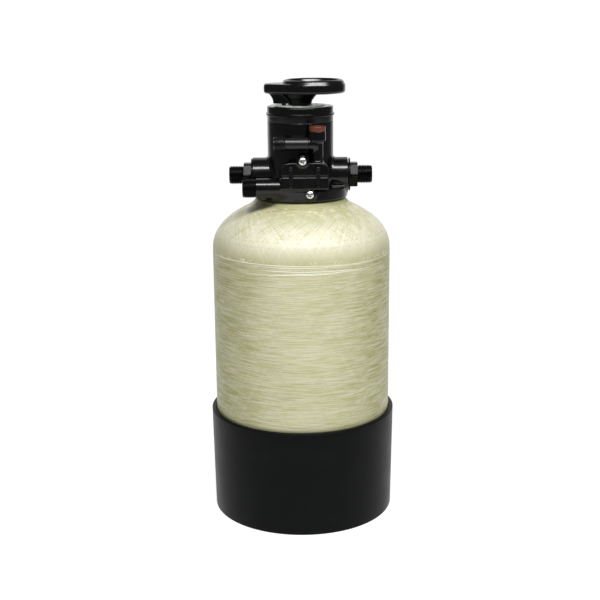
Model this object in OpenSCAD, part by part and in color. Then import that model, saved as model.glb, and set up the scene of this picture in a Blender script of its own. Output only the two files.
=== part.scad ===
// Manual water softener: a wound glass fibre tank in a moulded boot, with a rotary disc valve on its neck.
// Millimetres. Z is the tank's centre line, Z = 0 is the floor, the front is towards -Y.
// Heights of the valve's parts are measured from the top face of the tank's neck.

/* [Tank] */
// Outside diameter of the wound tank
tank_d = 203; // [199:0.5:203]
// Height of the neck's top face above the floor
neck_top = 371.5; // [364:0.5:384]
// Thickness of the wound wall
shell_wall = 3.3; // [2.8:0.1:3.6]
// Thickness of the liner's wall
liner_wall = 2.6; // [2.2:0.1:2.8]
// Rise of the top dome from its spring line
dome_rise = 56.8; // [54:0.2:60]
// Rise of the bottom dome
base_rise = 50; // [48:0.5:52]
// Height of the bottom dome's lowest point above the floor
base_lift = 9; // [8.6:0.1:9.4]
// Outside diameter of the neck at its top face
neck_d = 100; // [98:0.5:102]
// Inside diameter of the neck's thread
neck_bore_d = 73; // [72.8:0.1:74]

/* [Boot] */
// Outside diameter of the boot at its rim
boot_rim_d = 214.6; // [212:0.2:218]
// Outside diameter of the boot at the floor
boot_foot_d = 210.6; // [209:0.2:214]
// Height of the boot
boot_h = 122; // [110:0.5:130]
// Inside diameter of the boot around the tank
boot_bore_d = 204; // [203.8:0.1:205]

/* [Valve body] */
// Diameter of the collar on the neck
collar_d = 106; // [104:0.5:108]
// Height of the collar
collar_h = 12.5; // [12:0.1:13]
// Outside diameter of the barrel
barrel_d = 74.2; // [73.6:0.1:74.4]
// Height of the joint between barrel and cap
seam_h = 84.7; // [84.6:0.1:85]
// Height of the cap's top face
cap_top = 101.6; // [101.2:0.1:102]
// Diameter of the bead around the cap
bead_d = 76.8; // [76:0.2:78]

/* [Ports] */
// Height of the port centre lines
port_h = 24; // [23.6:0.1:24.4]
// Diameter of a port's boss
port_d = 39.2; // [37:0.2:40]
// Distance from the centre line to the end of the outlet's boss
port_reach = 53.2; // [52.6:0.1:54]
// Outside diameter of the port threads
port_thread_d = 20.955; // [20.9:0.005:21]
// Pitch of the port threads
port_pitch = 1.814; // [1.8:0.002:1.82]
// Length of a port's outside thread
port_thread_len = 16.5; // [15:0.5:18]
// Width across flats of a nipple's hexagon
hex_af = 26.6; // [25:0.2:28]
// Length of a nipple's hexagon
hex_len = 8.4; // [7:0.2:10]
// Diameter of a nipple's flange
flange_d = 37; // [35:0.5:38]

/* [Drain and brine] */
// Distance of the drain and its thread in front of the centre line
drain_front = 42.4; // [42:0.1:43]
// Height of the drain's centre line
drain_h = 14.8; // [14.5:0.1:15.1]
// Distance from the centre line to the end of the drain
drain_reach = 64.3; // [62:0.1:68]
// Outside diameter of the drain's smooth part
drain_d = 22.4; // [21.4:0.1:22.6]
// Distance from the centre line to the end of the brine connector
brine_reach = 29.8; // [29:0.1:32]
// Outside diameter of the brine thread
brine_thread_d = 16.662; // [16.6:0.002:16.7]
// Pitch of the brine thread
brine_pitch = 1.337; // [1.32:0.001:1.34]
// Height of the brine connector's centre line
brine_h = 63.5; // [63:0.1:64]

/* [Injector] */
// Width of the injector housing
housing_w = 51.6; // [50:0.2:52]
// Distance of the housing's front face from the centre line
housing_front = 55.8; // [55.4:0.1:56.4]
// Height of the joint between ledge and housing
ledge_top = 28.5; // [28.2:0.1:28.8]
// Height of the housing's flat top
housing_top = 44.1; // [43.6:0.1:44.6]
// Radius of the housing's top corners
housing_corner = 8.5; // [7:0.25:10]
// Diameter of the upright column
column_d = 12.2; // [12:0.1:12.6]
// Diameter of the cup on the column
cup_d = 18.2; // [17.8:0.1:18.6]
// Diameter of the column's cap
cap_disc_d = 17.8; // [17:0.1:18]

/* [Handle] */
// Radius of the handle's round part
knob_r = 35.8; // [35:0.1:36.5]
// Offset of the round part from the centre line
knob_x = 14.8; // [14.2:0.1:15.2]
// Distance from the centre line to the nose's tip
nose_reach = 40.4; // [39:0.1:42]
// Half of the nose's width
nose_half = 12.8; // [12:0.1:13.4]
// Height of the handle's lower edge
knob_base = 115.6; // [115:0.1:116]
// Height of the nose's top
nose_top = 126.2; // [125.6:0.1:127]
// Height of the knob's rim
rim_top = 130.5; // [129.5:0.1:131]
// Diameter of the handle's hub
hub_d = 26; // [25:0.2:27]

/* [Hidden] */
$fn = 96;
eps = 0.01;
fit_gap = 0.1;
loose = 0.3;

// Tank levels
tank_r = tank_d / 2;
neck_r = neck_d / 2;
neck_bore_r = neck_bore_d / 2;
neck_flare = 7.4;
flare_reach = 4;
spring_z = neck_top - neck_flare - dome_rise * sqrt(1 - pow(neck_r / tank_r, 2));
base_z = base_lift + base_rise;
shell_in = tank_r - shell_wall;
liner_out = shell_in - fit_gap;
liner_in = liner_out - liner_wall;
liner_skin = shell_wall + fit_gap + liner_wall;
neck_wall_r = 43.9;
sleeve_r = 41.5;
sleeve_len = 26;
arc_steps = 36;

// Bed and pipe sizes
riser_r = 13.35;
riser_bore = 10.8;
riser_top = 19.5;
basket_r = 26;
basket_h = 34;
basket_z = 16.9;
basket_wall = 2.2;
gravel_top = 72;
resin_top = 236;
slot_w = 1.2;
basket_hub_z = 12;
strainer_h = 24;
strainer_r = neck_bore_r - 1.1;
strainer_foot = 22;
strainer_skirt = 7;
strainer_wall = 4.2;
strainer_floor = 2.4;

// Boot sizes
boot_bore_r = boot_bore_d / 2;
boot_floor = 5;
boot_recess = 2.5;
boot_rib_w = 3;
cup_wall = 4.05;

// Body levels and passages
barrel_r = barrel_d / 2;
spigot_r = 36.2;
spigot_in = 31;
spigot_len = 25;
socket_r = 18;
socket_bore = 13.6;
socket_top = 20.5;
chamber_top = 6.5;
cavity_r = 32;
cavity_z = 58.5;
skirt_r = 34;
skirt_top = seam_h + 9.4;
port_bore = 8;
tap_gap = 0.12;
way_r = 4;
cross_way_r = 3.5;
ledge_way_r = 3;
way_ring = 20;
centre_way = 7;
outlet_angle = 0;
tank_angle = 90;
drain_angle = 240;
brine_angle = 300;
way_angles = [outlet_angle, tank_angle, drain_angle, brine_angle];
brine_way_z = 21.5;
neck_seal_r = 40;
neck_seal_cord = 1.4;
neck_groove_w = 3.4;

// Stack of discs
disc_r = 25.5;
seal_t = 2.5;
disc_t = 8;
fixed_z = cavity_z + seal_t;
moving_z = fixed_z + disc_t;
stem_z = moving_z + disc_t;
stem_flange_r = 20;
stem_flange_t = 6.5;
washer_t = 1;
washer_r = stem_flange_r - 2;
plug_z = stem_z + stem_flange_t + washer_t;
stem_r = 10;
stem_bore = 10.05;
stem_round_top = cap_top + 2.2;
square_af = 13;
lug_w = 5.6;
lug_drop = 2.6;
groove_levels = [plug_z + 4, plug_z + 9];

// Handle levels
hub_base = cap_top + 0.9;
hub_flare_h = 9;
plate_r = 28;
plate_in = hub_d / 2 + 1.4;
plate_t = 0.6;
dish_floor = knob_base + 4.5;
socket_roof = dish_floor - 3.5;
dish_r = 24.5;
rim_r = knob_r - 3.8;
rim_inner = knob_r - 5.8;
nose_corner = 3.6;
web_w = 11;
web_base = cap_top + 2.4;
peg_base = cap_top + 1.1;
screw_r = 2.5;

// Nipple levels along the port
thread_depth = 1.16;
brine_depth = 0.856;
gasket_t = 1.1;
gasket_r = 13;
flange_t = 1.6;
tap_len = 13;
nipple_bore = 7.5;
thread_r = port_thread_d / 2;
tap_r = thread_r + tap_gap;
tap_depth = 18;
nipple_out = flange_t + hex_len + port_thread_len;

// Drain
drain_r = drain_d / 2;
drain_bore = 6;
drain_seat = 46;
drain_seat_r = 7.4;

// Injector
housing_x = 4.5;
housing_back = 37.8;
ledge_base = 14.5;
gasket_h = 1;
housing_z = ledge_top + gasket_h;
column_in = 11.8;
column_x = housing_x + housing_w / 2 - column_in;
column_y = -46.8;
column_r = column_d / 2;
column_bore = 4;
cup_z = 67.5;
cup_top = 77.5;
cup_bore = 7;
cup_floor = 70;
cap_disc_t = 5.4;
way_x = 10;
throat_base = 2;
throat_h = 13;
nozzle_h = 12;
throat_way_z = 2.4;
throat_way_r = 1.5;
nozzle_z = housing_z + throat_base + throat_h;
screen_z = nozzle_z + nozzle_h;
clip_in = [10.5, 11.1];
clip_xs = [housing_x - housing_w / 2 + clip_in[0], housing_x + housing_w / 2 - clip_in[1]];
clip_w = 4.4;
clip_base = 17;
clip_top = 39.5;
clip_t = 2.6;
clip_hook = 3;
clip_hook_h = 3;
upper_screw = [2.2, 45.9];
lower_screw = [10, 8.8];
lug_r = 6;
lug_front = housing_front + 0.3;
lug_back = housing_back;
pad_proud = 0.4;
pad_front = collar_d / 2 + pad_proud;
head_r = 4.3;
head_h = 3;
shank_r = 2;
upper_shank = 30;
lower_shank = 13;
screw_depth = 25;
joint_in = 9.7;
joint_x = column_x - joint_in;
socket_in = 5;
socket_x = column_x - socket_in;
brine_r = 7.1;
brine_bore = 4;
brine_thread_len = 13.1;
spout_r = 4.8;

// Height of an elliptical dome of base radius R and rise b at radius r
function dome(r, R, b) = b * sqrt(max(0, 1 - pow(r / R, 2)));

// Points of a dome's section from its base out at angle a0 to angle a1
function dome_arc(R, b, z, a0, a1) =
    [for (i = [0 : arc_steps]) let (a = a0 + (a1 - a0) * i / arc_steps) [R * cos(a), z + b * sin(a)]];

// The same with the neck's flare on top
function neck_arc(a1) =
    [for (i = [0 : arc_steps])
        let (a = a1 * i / arc_steps)
        let (r = tank_r * cos(a))
        [r, spring_z + dome_rise * sin(a) + neck_flare * exp(-(r - neck_r) / flare_reach)]];

// Places parts on the tank's neck
module on_neck() {
    translate([0, 0, neck_top]) children();
}

// Turns a part built along Z so that it points along X, side 1 or -1
module along_x(side) {
    rotate([0, side * 90, 0]) children();
}

// Turns a part built along Z so that it points to the front
module to_front() {
    rotate([90, 0, 0]) children();
}

module ring(r_out, r_in, h) {
    difference() {
        cylinder(r = r_out, h = h);
        translate([0, 0, -eps]) cylinder(r = r_in, h = h + 2 * eps);
    }
}

// O-ring lying flat around Z
module o_ring(r_mid, r_cord) {
    rotate_extrude() translate([r_mid, 0]) circle(r = r_cord);
}

// Round bar with thread ridges and a plain lead at both ends
module thread_bar(r, pitch, depth, len) {
    turns = floor(len / pitch - 0.6);
    start = (len - turns * pitch) / 2;
    ridges = [for (i = [0 : turns - 1])
        let (z = start + i * pitch)
        each [[r - depth, z], [r, z + pitch * 0.36], [r, z + pitch * 0.64]]];
    rotate_extrude()
        polygon(concat([[0, 0], [r - depth, 0]], ridges,
            [[r - depth, start + turns * pitch], [r - depth, len], [0, len]]));
}

// Tank
module tank_shell() {
    a_neck = acos(neck_r / tank_r);
    a_in = acos((neck_wall_r + fit_gap) / shell_in);
    outer = concat(dome_arc(tank_r, base_rise, base_z, -90, 0), neck_arc(a_neck));
    inner = concat(dome_arc(shell_in, base_rise - shell_wall, base_z, -90, 0),
        dome_arc(shell_in, dome_rise - shell_wall, spring_z, 0, a_in));
    neck_in = neck_wall_r + fit_gap;
    color([0.80, 0.80, 0.62])
        rotate_extrude() difference() {
            polygon(concat(outer, [[neck_in, neck_top]], [[0, neck_top]]));
            polygon(concat(inner, [[neck_in, neck_top + 1]], [[0, neck_top + 1]]));
        }
}

module tank_liner() {
    a_out = acos(neck_wall_r / liner_out);
    a_in = acos(sleeve_r / liner_in);
    skin = shell_wall + fit_gap;
    outer = concat(dome_arc(liner_out, base_rise - skin, base_z, -90, 0),
        dome_arc(liner_out, dome_rise - skin, spring_z, 0, a_out));
    inner = concat(dome_arc(liner_in, base_rise - liner_skin, base_z, -90, 0),
        dome_arc(liner_in, dome_rise - liner_skin, spring_z, 0, a_in));
    sleeve_end = neck_top - sleeve_len;
    color([0.86, 0.86, 0.80])
        rotate_extrude() difference() {
            polygon(concat(outer, [[neck_wall_r, neck_top]], [[0, neck_top]]));
            polygon(concat(inner, [[sleeve_r, sleeve_end]], [[neck_bore_r, sleeve_end],
                [neck_bore_r, neck_top + 1], [0, neck_top + 1]]));
        }
}

module tank_boot() {
    foot_r = boot_foot_d / 2;
    rim_r_boot = boot_rim_d / 2;
    cup_z_boot = base_z * 0.78;
    seat_r = 60;
    seat_top = base_z - dome(seat_r, tank_r, base_rise) - loose;
    wall = foot_r - 4.2;
    color([0.06, 0.06, 0.065]) {
        difference() {
            rotate_extrude() polygon([[0, 0], [foot_r - 1.5, 0], [foot_r, 1.5],
                [boot_bore_r + cup_wall, cup_z_boot],
                [rim_r_boot, boot_h - 1.2], [rim_r_boot - 1.2, boot_h], [boot_bore_r, boot_h],
                [boot_bore_r, cup_z_boot],
                [wall, boot_floor + 22], [wall - 8, boot_floor], [0, boot_floor]]);
            translate([0, 0, -eps]) cylinder(r = foot_r - 16, h = boot_recess);
        }
        difference() {
            translate([0, 0, boot_floor - eps]) ring(seat_r + 4, seat_r, seat_top - boot_floor + eps);
            for (a = [0 : 90 : 270])
                rotate(a) translate([seat_r - 2, -5, boot_floor + 1]) cube([8, 10, seat_top]);
        }
        for (a = [0 : 45 : 315])
            rotate(a) translate([14, -boot_rib_w / 2, 0]) cube([foot_r - 28, boot_rib_w, boot_recess + 1]);
    }
}

// Pipes and beds inside the tank
module riser_tube() {
    foot = basket_z + 14;
    color([0.88, 0.88, 0.86])
        translate([0, 0, foot]) ring(riser_r, riser_bore, neck_top + riser_top - foot);
}

module bottom_distributor() {
    color([0.25, 0.27, 0.30])
        translate([0, 0, basket_z]) difference() {
            cylinder(r = basket_r, h = basket_h);
            translate([0, 0, 3]) cylinder(r = basket_r - basket_wall, h = basket_h - 8);
            translate([0, 0, 14]) cylinder(r = riser_r + fit_gap, h = basket_h);
            for (a = [0 : 15 : 345])
                rotate(a) translate([basket_r - 4, -slot_w / 2, 6]) cube([8, slot_w, basket_h - 15]);
        }
    color([0.25, 0.27, 0.30])
        translate([0, 0, basket_z + basket_hub_z]) difference() {
            cylinder(r = riser_r + 3, h = basket_h - basket_hub_z - 4);
            translate([0, 0, 2]) cylinder(r = riser_r + fit_gap, h = basket_h);
            translate([0, 0, -1]) cylinder(r = riser_bore, h = basket_h);
        }
}

module top_distributor() {
    top_z = neck_top - spigot_len - fit_gap;
    skirt_in = strainer_r - strainer_wall;
    color([0.25, 0.27, 0.30])
        translate([0, 0, top_z - strainer_h]) difference() {
            rotate_extrude() polygon([[riser_r + loose, 0], [strainer_foot, 0],
                [strainer_r, strainer_h - strainer_skirt], [strainer_r, strainer_h], [skirt_in, strainer_h],
                [skirt_in, strainer_h - strainer_skirt + 1], [strainer_foot - 1.5, strainer_floor],
                [riser_r + loose, strainer_floor]]);
            for (a = [0 : 15 : 345])
                rotate(a) translate([strainer_foot - 4, -slot_w / 2, strainer_floor + 1])
                    cube([strainer_r, slot_w, strainer_h - strainer_skirt - 5]);
        }
}

module resin_bed() {
    color([0.80, 0.55, 0.20])
        translate([0, 0, gravel_top]) ring(liner_in - loose, riser_r + loose, resin_top - gravel_top);
}

module gravel_bed() {
    bed_r = liner_in - loose;
    bed_b = base_rise - liner_skin - loose;
    color([0.55, 0.50, 0.45]) difference() {
        rotate_extrude() polygon(concat(dome_arc(bed_r, bed_b, base_z, -90, 0),
            [[bed_r, gravel_top], [0, gravel_top]]));
        translate([0, 0, -1]) cylinder(r = basket_r + loose, h = basket_z + basket_h + 1 + loose);
        cylinder(r = riser_r + loose, h = gravel_top + 1);
    }
}

module neck_o_ring() {
    color([0.05, 0.05, 0.05]) on_neck()
        translate([0, 0, neck_seal_cord + 0.05]) o_ring(neck_seal_r, neck_seal_cord);
}

module riser_o_ring() {
    color([0.05, 0.05, 0.05]) on_neck() translate([0, 0, -8]) o_ring(riser_r + 1.42, 1.4);
}

// Valve body
module body_outside() {
    translate([0, 0, -spigot_len]) cylinder(r = spigot_r, h = spigot_len + 1);
    rotate_extrude() polygon([[0, 0], [collar_d / 2, 0], [collar_d / 2, collar_h - 1.4],
        [collar_d / 2 - 1.4, collar_h], [0, collar_h]]);
    translate([0, 0, 1]) cylinder(r = barrel_r, h = seam_h - 1);
    cylinder(r = skirt_r, h = skirt_top);
    translate([0, 0, port_h]) along_x(1) cylinder(d = port_d, h = port_reach);
    translate([0, 0, port_h]) along_x(-1) cylinder(d = port_d, h = port_reach + gasket_t);
    drain_outside();
    translate([housing_x - housing_w / 2, -housing_front, ledge_base])
        cube([housing_w, housing_front - 20, ledge_top - ledge_base]);
    translate([upper_screw[0], -20, upper_screw[1]])
        to_front() cylinder(r = lug_r, h = lug_back - 20 - fit_gap);
    translate([lower_screw[0], -30, lower_screw[1]]) to_front() cylinder(r = 6.4, h = pad_front - 30);
}

module drain_outside() {
    translate([0, -drain_front, drain_h]) {
        smooth_end = drain_reach - 15;
        along_x(-1) rotate_extrude()
            polygon(concat(dome_arc(drain_r, drain_r * 0.9, 0, -90, 0),
                [[drain_r, smooth_end], [0, smooth_end]]));
        translate([-smooth_end + eps, 0, 0])
            along_x(-1) thread_bar(thread_r, port_pitch, thread_depth, drain_reach - smooth_end + eps);
    }
}

// Water ways inside the body
module body_ways() {
    translate([0, 0, -spigot_len - 1]) difference() {
        cylinder(r = spigot_in, h = spigot_len + 1 + chamber_top);
        translate([0, 0, 1]) cylinder(r = socket_r, h = spigot_len + chamber_top + 1);
    }
    translate([0, 0, -spigot_len - 1]) cylinder(r = socket_bore, h = spigot_len + 1 + socket_top);
    translate([0, 0, socket_top - 1]) cylinder(r = centre_way, h = cavity_z);
    translate([0, 0, cavity_z]) cylinder(r = cavity_r, h = seam_h);
    translate([0, 0, port_h]) along_x(1) {
        translate([0, 0, way_ring - 4.5]) cylinder(r = port_bore, h = port_reach);
        translate([0, 0, port_reach - tap_depth]) cylinder(r = tap_r, h = tap_depth + 1);
    }
    translate([0, 0, port_h]) along_x(-1) {
        translate([0, 0, way_ring]) cylinder(r = port_bore, h = port_reach);
        translate([0, 0, port_reach - tap_depth]) cylinder(r = tap_r, h = tap_depth + 3);
        translate([0, 0, port_reach]) cylinder(r = gasket_r + 0.2, h = gasket_t + 1);
    }
    translate([-28.7, 0, port_h]) cylinder(r = 3, h = cavity_z);
    rotate(outlet_angle) translate([way_ring, 0, port_h]) cylinder(r = way_r, h = cavity_z);
    rotate(tank_angle) translate([way_ring + 2.5, 0, chamber_top - 1]) cylinder(r = way_r, h = 40);
    rotate(tank_angle) translate([way_ring, 0, 44]) cylinder(r = way_r, h = cavity_z);
    rotate(drain_angle) translate([way_ring, 0, drain_h - 4.5]) cylinder(r = way_r, h = cavity_z);
    translate([way_ring * cos(drain_angle), way_ring * sin(drain_angle), drain_h])
        to_front() cylinder(r = cross_way_r, h = drain_front + way_ring * sin(drain_angle));
    translate([0, -drain_front, drain_h]) along_x(-1) {
        cylinder(r = drain_bore, h = drain_reach + 1);
        translate([0, 0, drain_seat]) cylinder(r = drain_seat_r, h = drain_reach);
    }
    rotate(brine_angle) translate([way_ring, 0, brine_way_z - 4.5]) cylinder(r = way_r, h = cavity_z);
    translate([way_x, way_ring * sin(brine_angle), brine_way_z])
        to_front() cylinder(r = cross_way_r, h = -column_y + way_ring * sin(brine_angle));
    translate([way_x, column_y, brine_way_z - 3.9]) cylinder(r = ledge_way_r, h = ledge_top);
}

// Room for the nipples' flanges, where a wider collar would reach them
module flange_room(start) {
    translate([0, 0, start]) cylinder(d = flange_d + 2 * loose, h = nipple_out);
}

module valve_body() {
    color([0.05, 0.05, 0.055]) on_neck() difference() {
        body_outside();
        body_ways();
        translate([0, 0, port_h]) along_x(1) flange_room(port_reach);
        translate([0, 0, port_h]) along_x(-1) flange_room(port_reach + gasket_t);
        translate([0, 0, -1])
            ring(neck_seal_r + neck_groove_w / 2, neck_seal_r - neck_groove_w / 2, 2 * neck_seal_cord + 1.1);
        translate([0, 0, -8 - 1.6]) ring(socket_bore + 2.7, socket_bore - 1, 3.2);
        clip_slots(clip_base);
        for (p = [upper_screw, lower_screw])
            translate([p[0], -screw_depth, p[1]]) to_front() cylinder(r = shank_r + 0.05, h = 40);
    }
}

module valve_cap() {
    bead_z = 92.7;
    color([0.05, 0.05, 0.055]) on_neck() difference() {
        union() {
            rotate_extrude() polygon([[skirt_r + fit_gap, seam_h], [barrel_r, seam_h],
                [barrel_r, bead_z - 1.6], [bead_d / 2, bead_z - 0.8], [bead_d / 2, bead_z + 0.8],
                [barrel_r, bead_z + 1.6],
                [barrel_r, cap_top - 1.6], [barrel_r - 1.6, cap_top], [0, cap_top], [0, skirt_top + 0.4],
                [skirt_r + fit_gap, skirt_top + 0.4]]);
            translate([0, 0, plug_z]) cylinder(r = cavity_r - fit_gap, h = cap_top - plug_z - 1);
        }
        translate([0, 0, plug_z - 1]) cylinder(r = stem_bore, h = 30);
        translate([0, 0, plug_z + 3.2]) ring(cavity_r + 1, cavity_r - 3, 3);
    }
}

module cap_o_ring() {
    color([0.05, 0.05, 0.05]) on_neck() translate([0, 0, plug_z + 4.7]) o_ring(cavity_r - 1.48, 1.4);
}

module position_plate() {
    color([0.72, 0.77, 0.72]) on_neck() translate([0, 0, cap_top]) ring(plate_r, plate_in, plate_t);
}

// Discs and stem
module ways(h) {
    translate([0, 0, -1]) cylinder(r = centre_way, h = h + 2);
    for (a = way_angles) rotate(a) translate([way_ring, 0, -1]) cylinder(r = way_r, h = h + 2);
}

module disc_seal() {
    color([0.10, 0.10, 0.10]) on_neck() translate([0, 0, cavity_z]) difference() {
        cylinder(r = disc_r, h = seal_t);
        ways(seal_t);
    }
}

module fixed_disc() {
    color([0.88, 0.87, 0.83]) on_neck() translate([0, 0, fixed_z]) difference() {
        cylinder(r = disc_r, h = disc_t);
        ways(disc_t);
    }
}

module moving_disc() {
    color([0.90, 0.89, 0.86]) on_neck() translate([0, 0, moving_z]) difference() {
        cylinder(r = disc_r, h = disc_t);
        rotate(outlet_angle + 180) translate([way_ring, 0, -1]) cylinder(r = way_r, h = disc_t + 2);
        translate([0, 0, -1]) cylinder(r = centre_way, h = 5);
        translate([-way_r, 0, -1]) cube([2 * way_r, way_ring + 2, 5]);
        for (a = [45, 225])
            rotate(a) translate([15, -lug_w / 2 - 0.2, disc_t - lug_drop - 0.4]) cube([20, lug_w + 0.4, 10]);
    }
}

module valve_stem() {
    color([0.70, 0.66, 0.50]) on_neck() difference() {
        union() {
            translate([0, 0, stem_z]) cylinder(r = stem_flange_r, h = stem_flange_t);
            translate([0, 0, stem_z]) cylinder(r = stem_r, h = stem_round_top - stem_z);
            translate([-square_af / 2, -square_af / 2, stem_round_top - 1])
                cube([square_af, square_af, socket_roof - 0.2 - stem_round_top + 1]);
            for (a = [45, 225])
                rotate(a) translate([15.4, -lug_w / 2, stem_z - lug_drop])
                    cube([4, lug_w, lug_drop + stem_flange_t]);
        }
        for (z = groove_levels) translate([0, 0, z - 1.3]) ring(stem_r + 1, stem_r - 2.4, 2.6);
        translate([0, 0, socket_roof - 16]) cylinder(r = screw_r + 0.05, h = 20);
    }
}

module stem_o_rings() {
    color([0.05, 0.05, 0.05]) on_neck()
        for (z = groove_levels) translate([0, 0, z]) o_ring(stem_r - 1.2, 1.18);
}

module friction_washer() {
    color([0.93, 0.93, 0.90]) on_neck()
        translate([0, 0, stem_z + stem_flange_t + 0.02]) ring(washer_r, stem_r + 0.4, washer_t - 0.04);
}

// Handle
module drop(r, half) {
    r_line = r - 0.4;
    p = [nose_corner - nose_reach, half - nose_corner];
    dx = p[0] - knob_x;
    b = atan2(p[1], dx) - acos((r_line - nose_corner) / norm([dx, p[1]]));
    t_knob = [knob_x + r_line * cos(b), r_line * sin(b)];
    corner = [for (i = [0 : 8]) let (a = b + (180 - b) * i / 8)
        [p[0] + nose_corner * cos(a), p[1] + nose_corner * sin(a)]];
    lower = [for (i = [8 : -1 : 0]) [corner[i][0], -corner[i][1]]];
    translate([knob_x, 0]) circle(r = r);
    polygon(concat([t_knob], corner, lower, [[t_knob[0], -t_knob[1]]]));
}

module handle() {
    color([0.045, 0.045, 0.05]) on_neck() difference() {
        union() {
            translate([0, 0, knob_base]) linear_extrude(nose_top - knob_base) drop(knob_r, nose_half);
            translate([knob_x, 0, 0]) rotate_extrude() polygon([[0, knob_base + 1],
                [knob_r - 0.5, knob_base + 1], [knob_r - 0.5, nose_top], [rim_r, rim_top - 0.5],
                [rim_r - 0.8, rim_top], [0, rim_top]]);
            translate([0, 0, hub_base]) cylinder(d = hub_d, h = knob_base - hub_base + 1);
            translate([0, 0, knob_base - hub_flare_h])
                cylinder(d1 = hub_d, d2 = hub_d + 15, h = hub_flare_h);
            translate([0, web_w / 2, 0]) to_front() linear_extrude(web_w)
                polygon([[-36.5, knob_base + 1], [-35, knob_base - 1], [-32.4, knob_base - 4.5],
                    [-30.6, knob_base - 8.5], [-30, web_base], [-20.6, web_base], [-20.6, peg_base],
                    [-15.8, peg_base], [-15.4, web_base + 2], [0, web_base + 4], [0, knob_base + 1]]);
        }
        translate([knob_x, 0, 0]) rotate_extrude() polygon([[0, dish_floor], [dish_r, dish_floor],
            [rim_inner, rim_top + eps], [rim_inner, rim_top + 5], [0, rim_top + 5]]);
        translate([-square_af / 2 - fit_gap, -square_af / 2 - fit_gap, hub_base - 1])
            cube([square_af + 2 * fit_gap, square_af + 2 * fit_gap, socket_roof - hub_base + 1]);
        translate([0, 0, hub_base - 1]) cylinder(r = stem_r + fit_gap, h = stem_round_top - hub_base + 1.2);
        translate([0, 0, dish_floor - 5]) cylinder(r = screw_r + 0.25, h = 10);
    }
}

// Pan head screw along Z, head up, underside at Z = 0
module pan_screw(r_head, h_head, r_shank, len) {
    cap_r = (r_head * r_head + h_head * h_head) / (2 * h_head) + 1.6;
    difference() {
        intersection() {
            cylinder(r = r_head, h = h_head);
            translate([0, 0, h_head - cap_r]) sphere(r = cap_r);
        }
        for (a = [0, 90])
            rotate(a) translate([-r_head * 0.55, -r_head * 0.11, h_head * 0.45])
                cube([r_head * 1.1, r_head * 0.22, h_head]);
    }
    translate([0, 0, -len]) cylinder(r = r_shank, h = len + eps);
}

module handle_screw() {
    color([0.78, 0.78, 0.80]) on_neck()
        translate([0, 0, dish_floor]) pan_screw(4.75, 3.4, screw_r, 15);
}

module pan_screws() {
    color([0.80, 0.80, 0.82]) on_neck() {
        translate([upper_screw[0], -lug_front, upper_screw[1]])
            to_front() pan_screw(head_r, head_h, shank_r, upper_shank);
        translate([lower_screw[0], -pad_front, lower_screw[1]])
            to_front() pan_screw(head_r, head_h, shank_r, lower_shank);
    }
}

// Nipple built along Z from the gasket face outwards
module nipple() {
    difference() {
        union() {
            translate([0, 0, -tap_len]) thread_bar(thread_r, port_pitch, thread_depth, tap_len + eps);
            cylinder(d = flange_d, h = flange_t);
            translate([0, 0, flange_t - eps]) cylinder(d = hex_af / cos(30), h = hex_len + eps, $fn = 6);
            translate([0, 0, flange_t + hex_len - eps])
                thread_bar(thread_r, port_pitch, thread_depth, port_thread_len + eps);
        }
        translate([0, 0, -tap_len - 1]) cylinder(r = nipple_bore, h = nipple_out + tap_len + 2);
    }
}

module inlet_nipple() {
    color([0.06, 0.06, 0.065]) on_neck() translate([-port_reach - gasket_t, 0, port_h])
        along_x(-1) nipple();
}

module outlet_nipple() {
    color([0.06, 0.06, 0.065]) on_neck() translate([port_reach + gasket_t, 0, port_h])
        along_x(1) nipple();
}

module inlet_gasket() {
    color([0.04, 0.04, 0.04]) on_neck() translate([-port_reach, 0, port_h])
        along_x(-1) ring(gasket_r, thread_r + fit_gap, gasket_t);
}

module outlet_gasket() {
    color([0.04, 0.04, 0.04]) on_neck() translate([port_reach, 0, port_h])
        along_x(1) ring(gasket_r, thread_r + fit_gap, gasket_t);
}

module drain_flow_control() {
    color([0.12, 0.12, 0.12]) on_neck() translate([-drain_seat, -drain_front, drain_h])
        along_x(-1) ring(drain_seat_r - fit_gap, 1.6, 5);
}

// Injector
module clip_slots(z) {
    for (x = clip_xs)
        translate([x - clip_w / 2 - 0.2, -housing_front - 1, z - 0.2])
            cube([clip_w + 0.4, clip_hook + 1.3, clip_hook_h + 0.4]);
}

module housing_outline() {
    w = housing_w / 2;
    h = housing_top - housing_z;
    c = housing_corner;
    corner = [for (i = [0 : 12]) let (a = 90 * i / 12) [w - c + c * cos(a), h - c + c * sin(a)]];
    mirrored = [for (i = [12 : -1 : 0]) [-corner[i][0], corner[i][1]]];
    polygon(concat([[-w, 0], [w, 0]], corner, mirrored));
}

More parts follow.
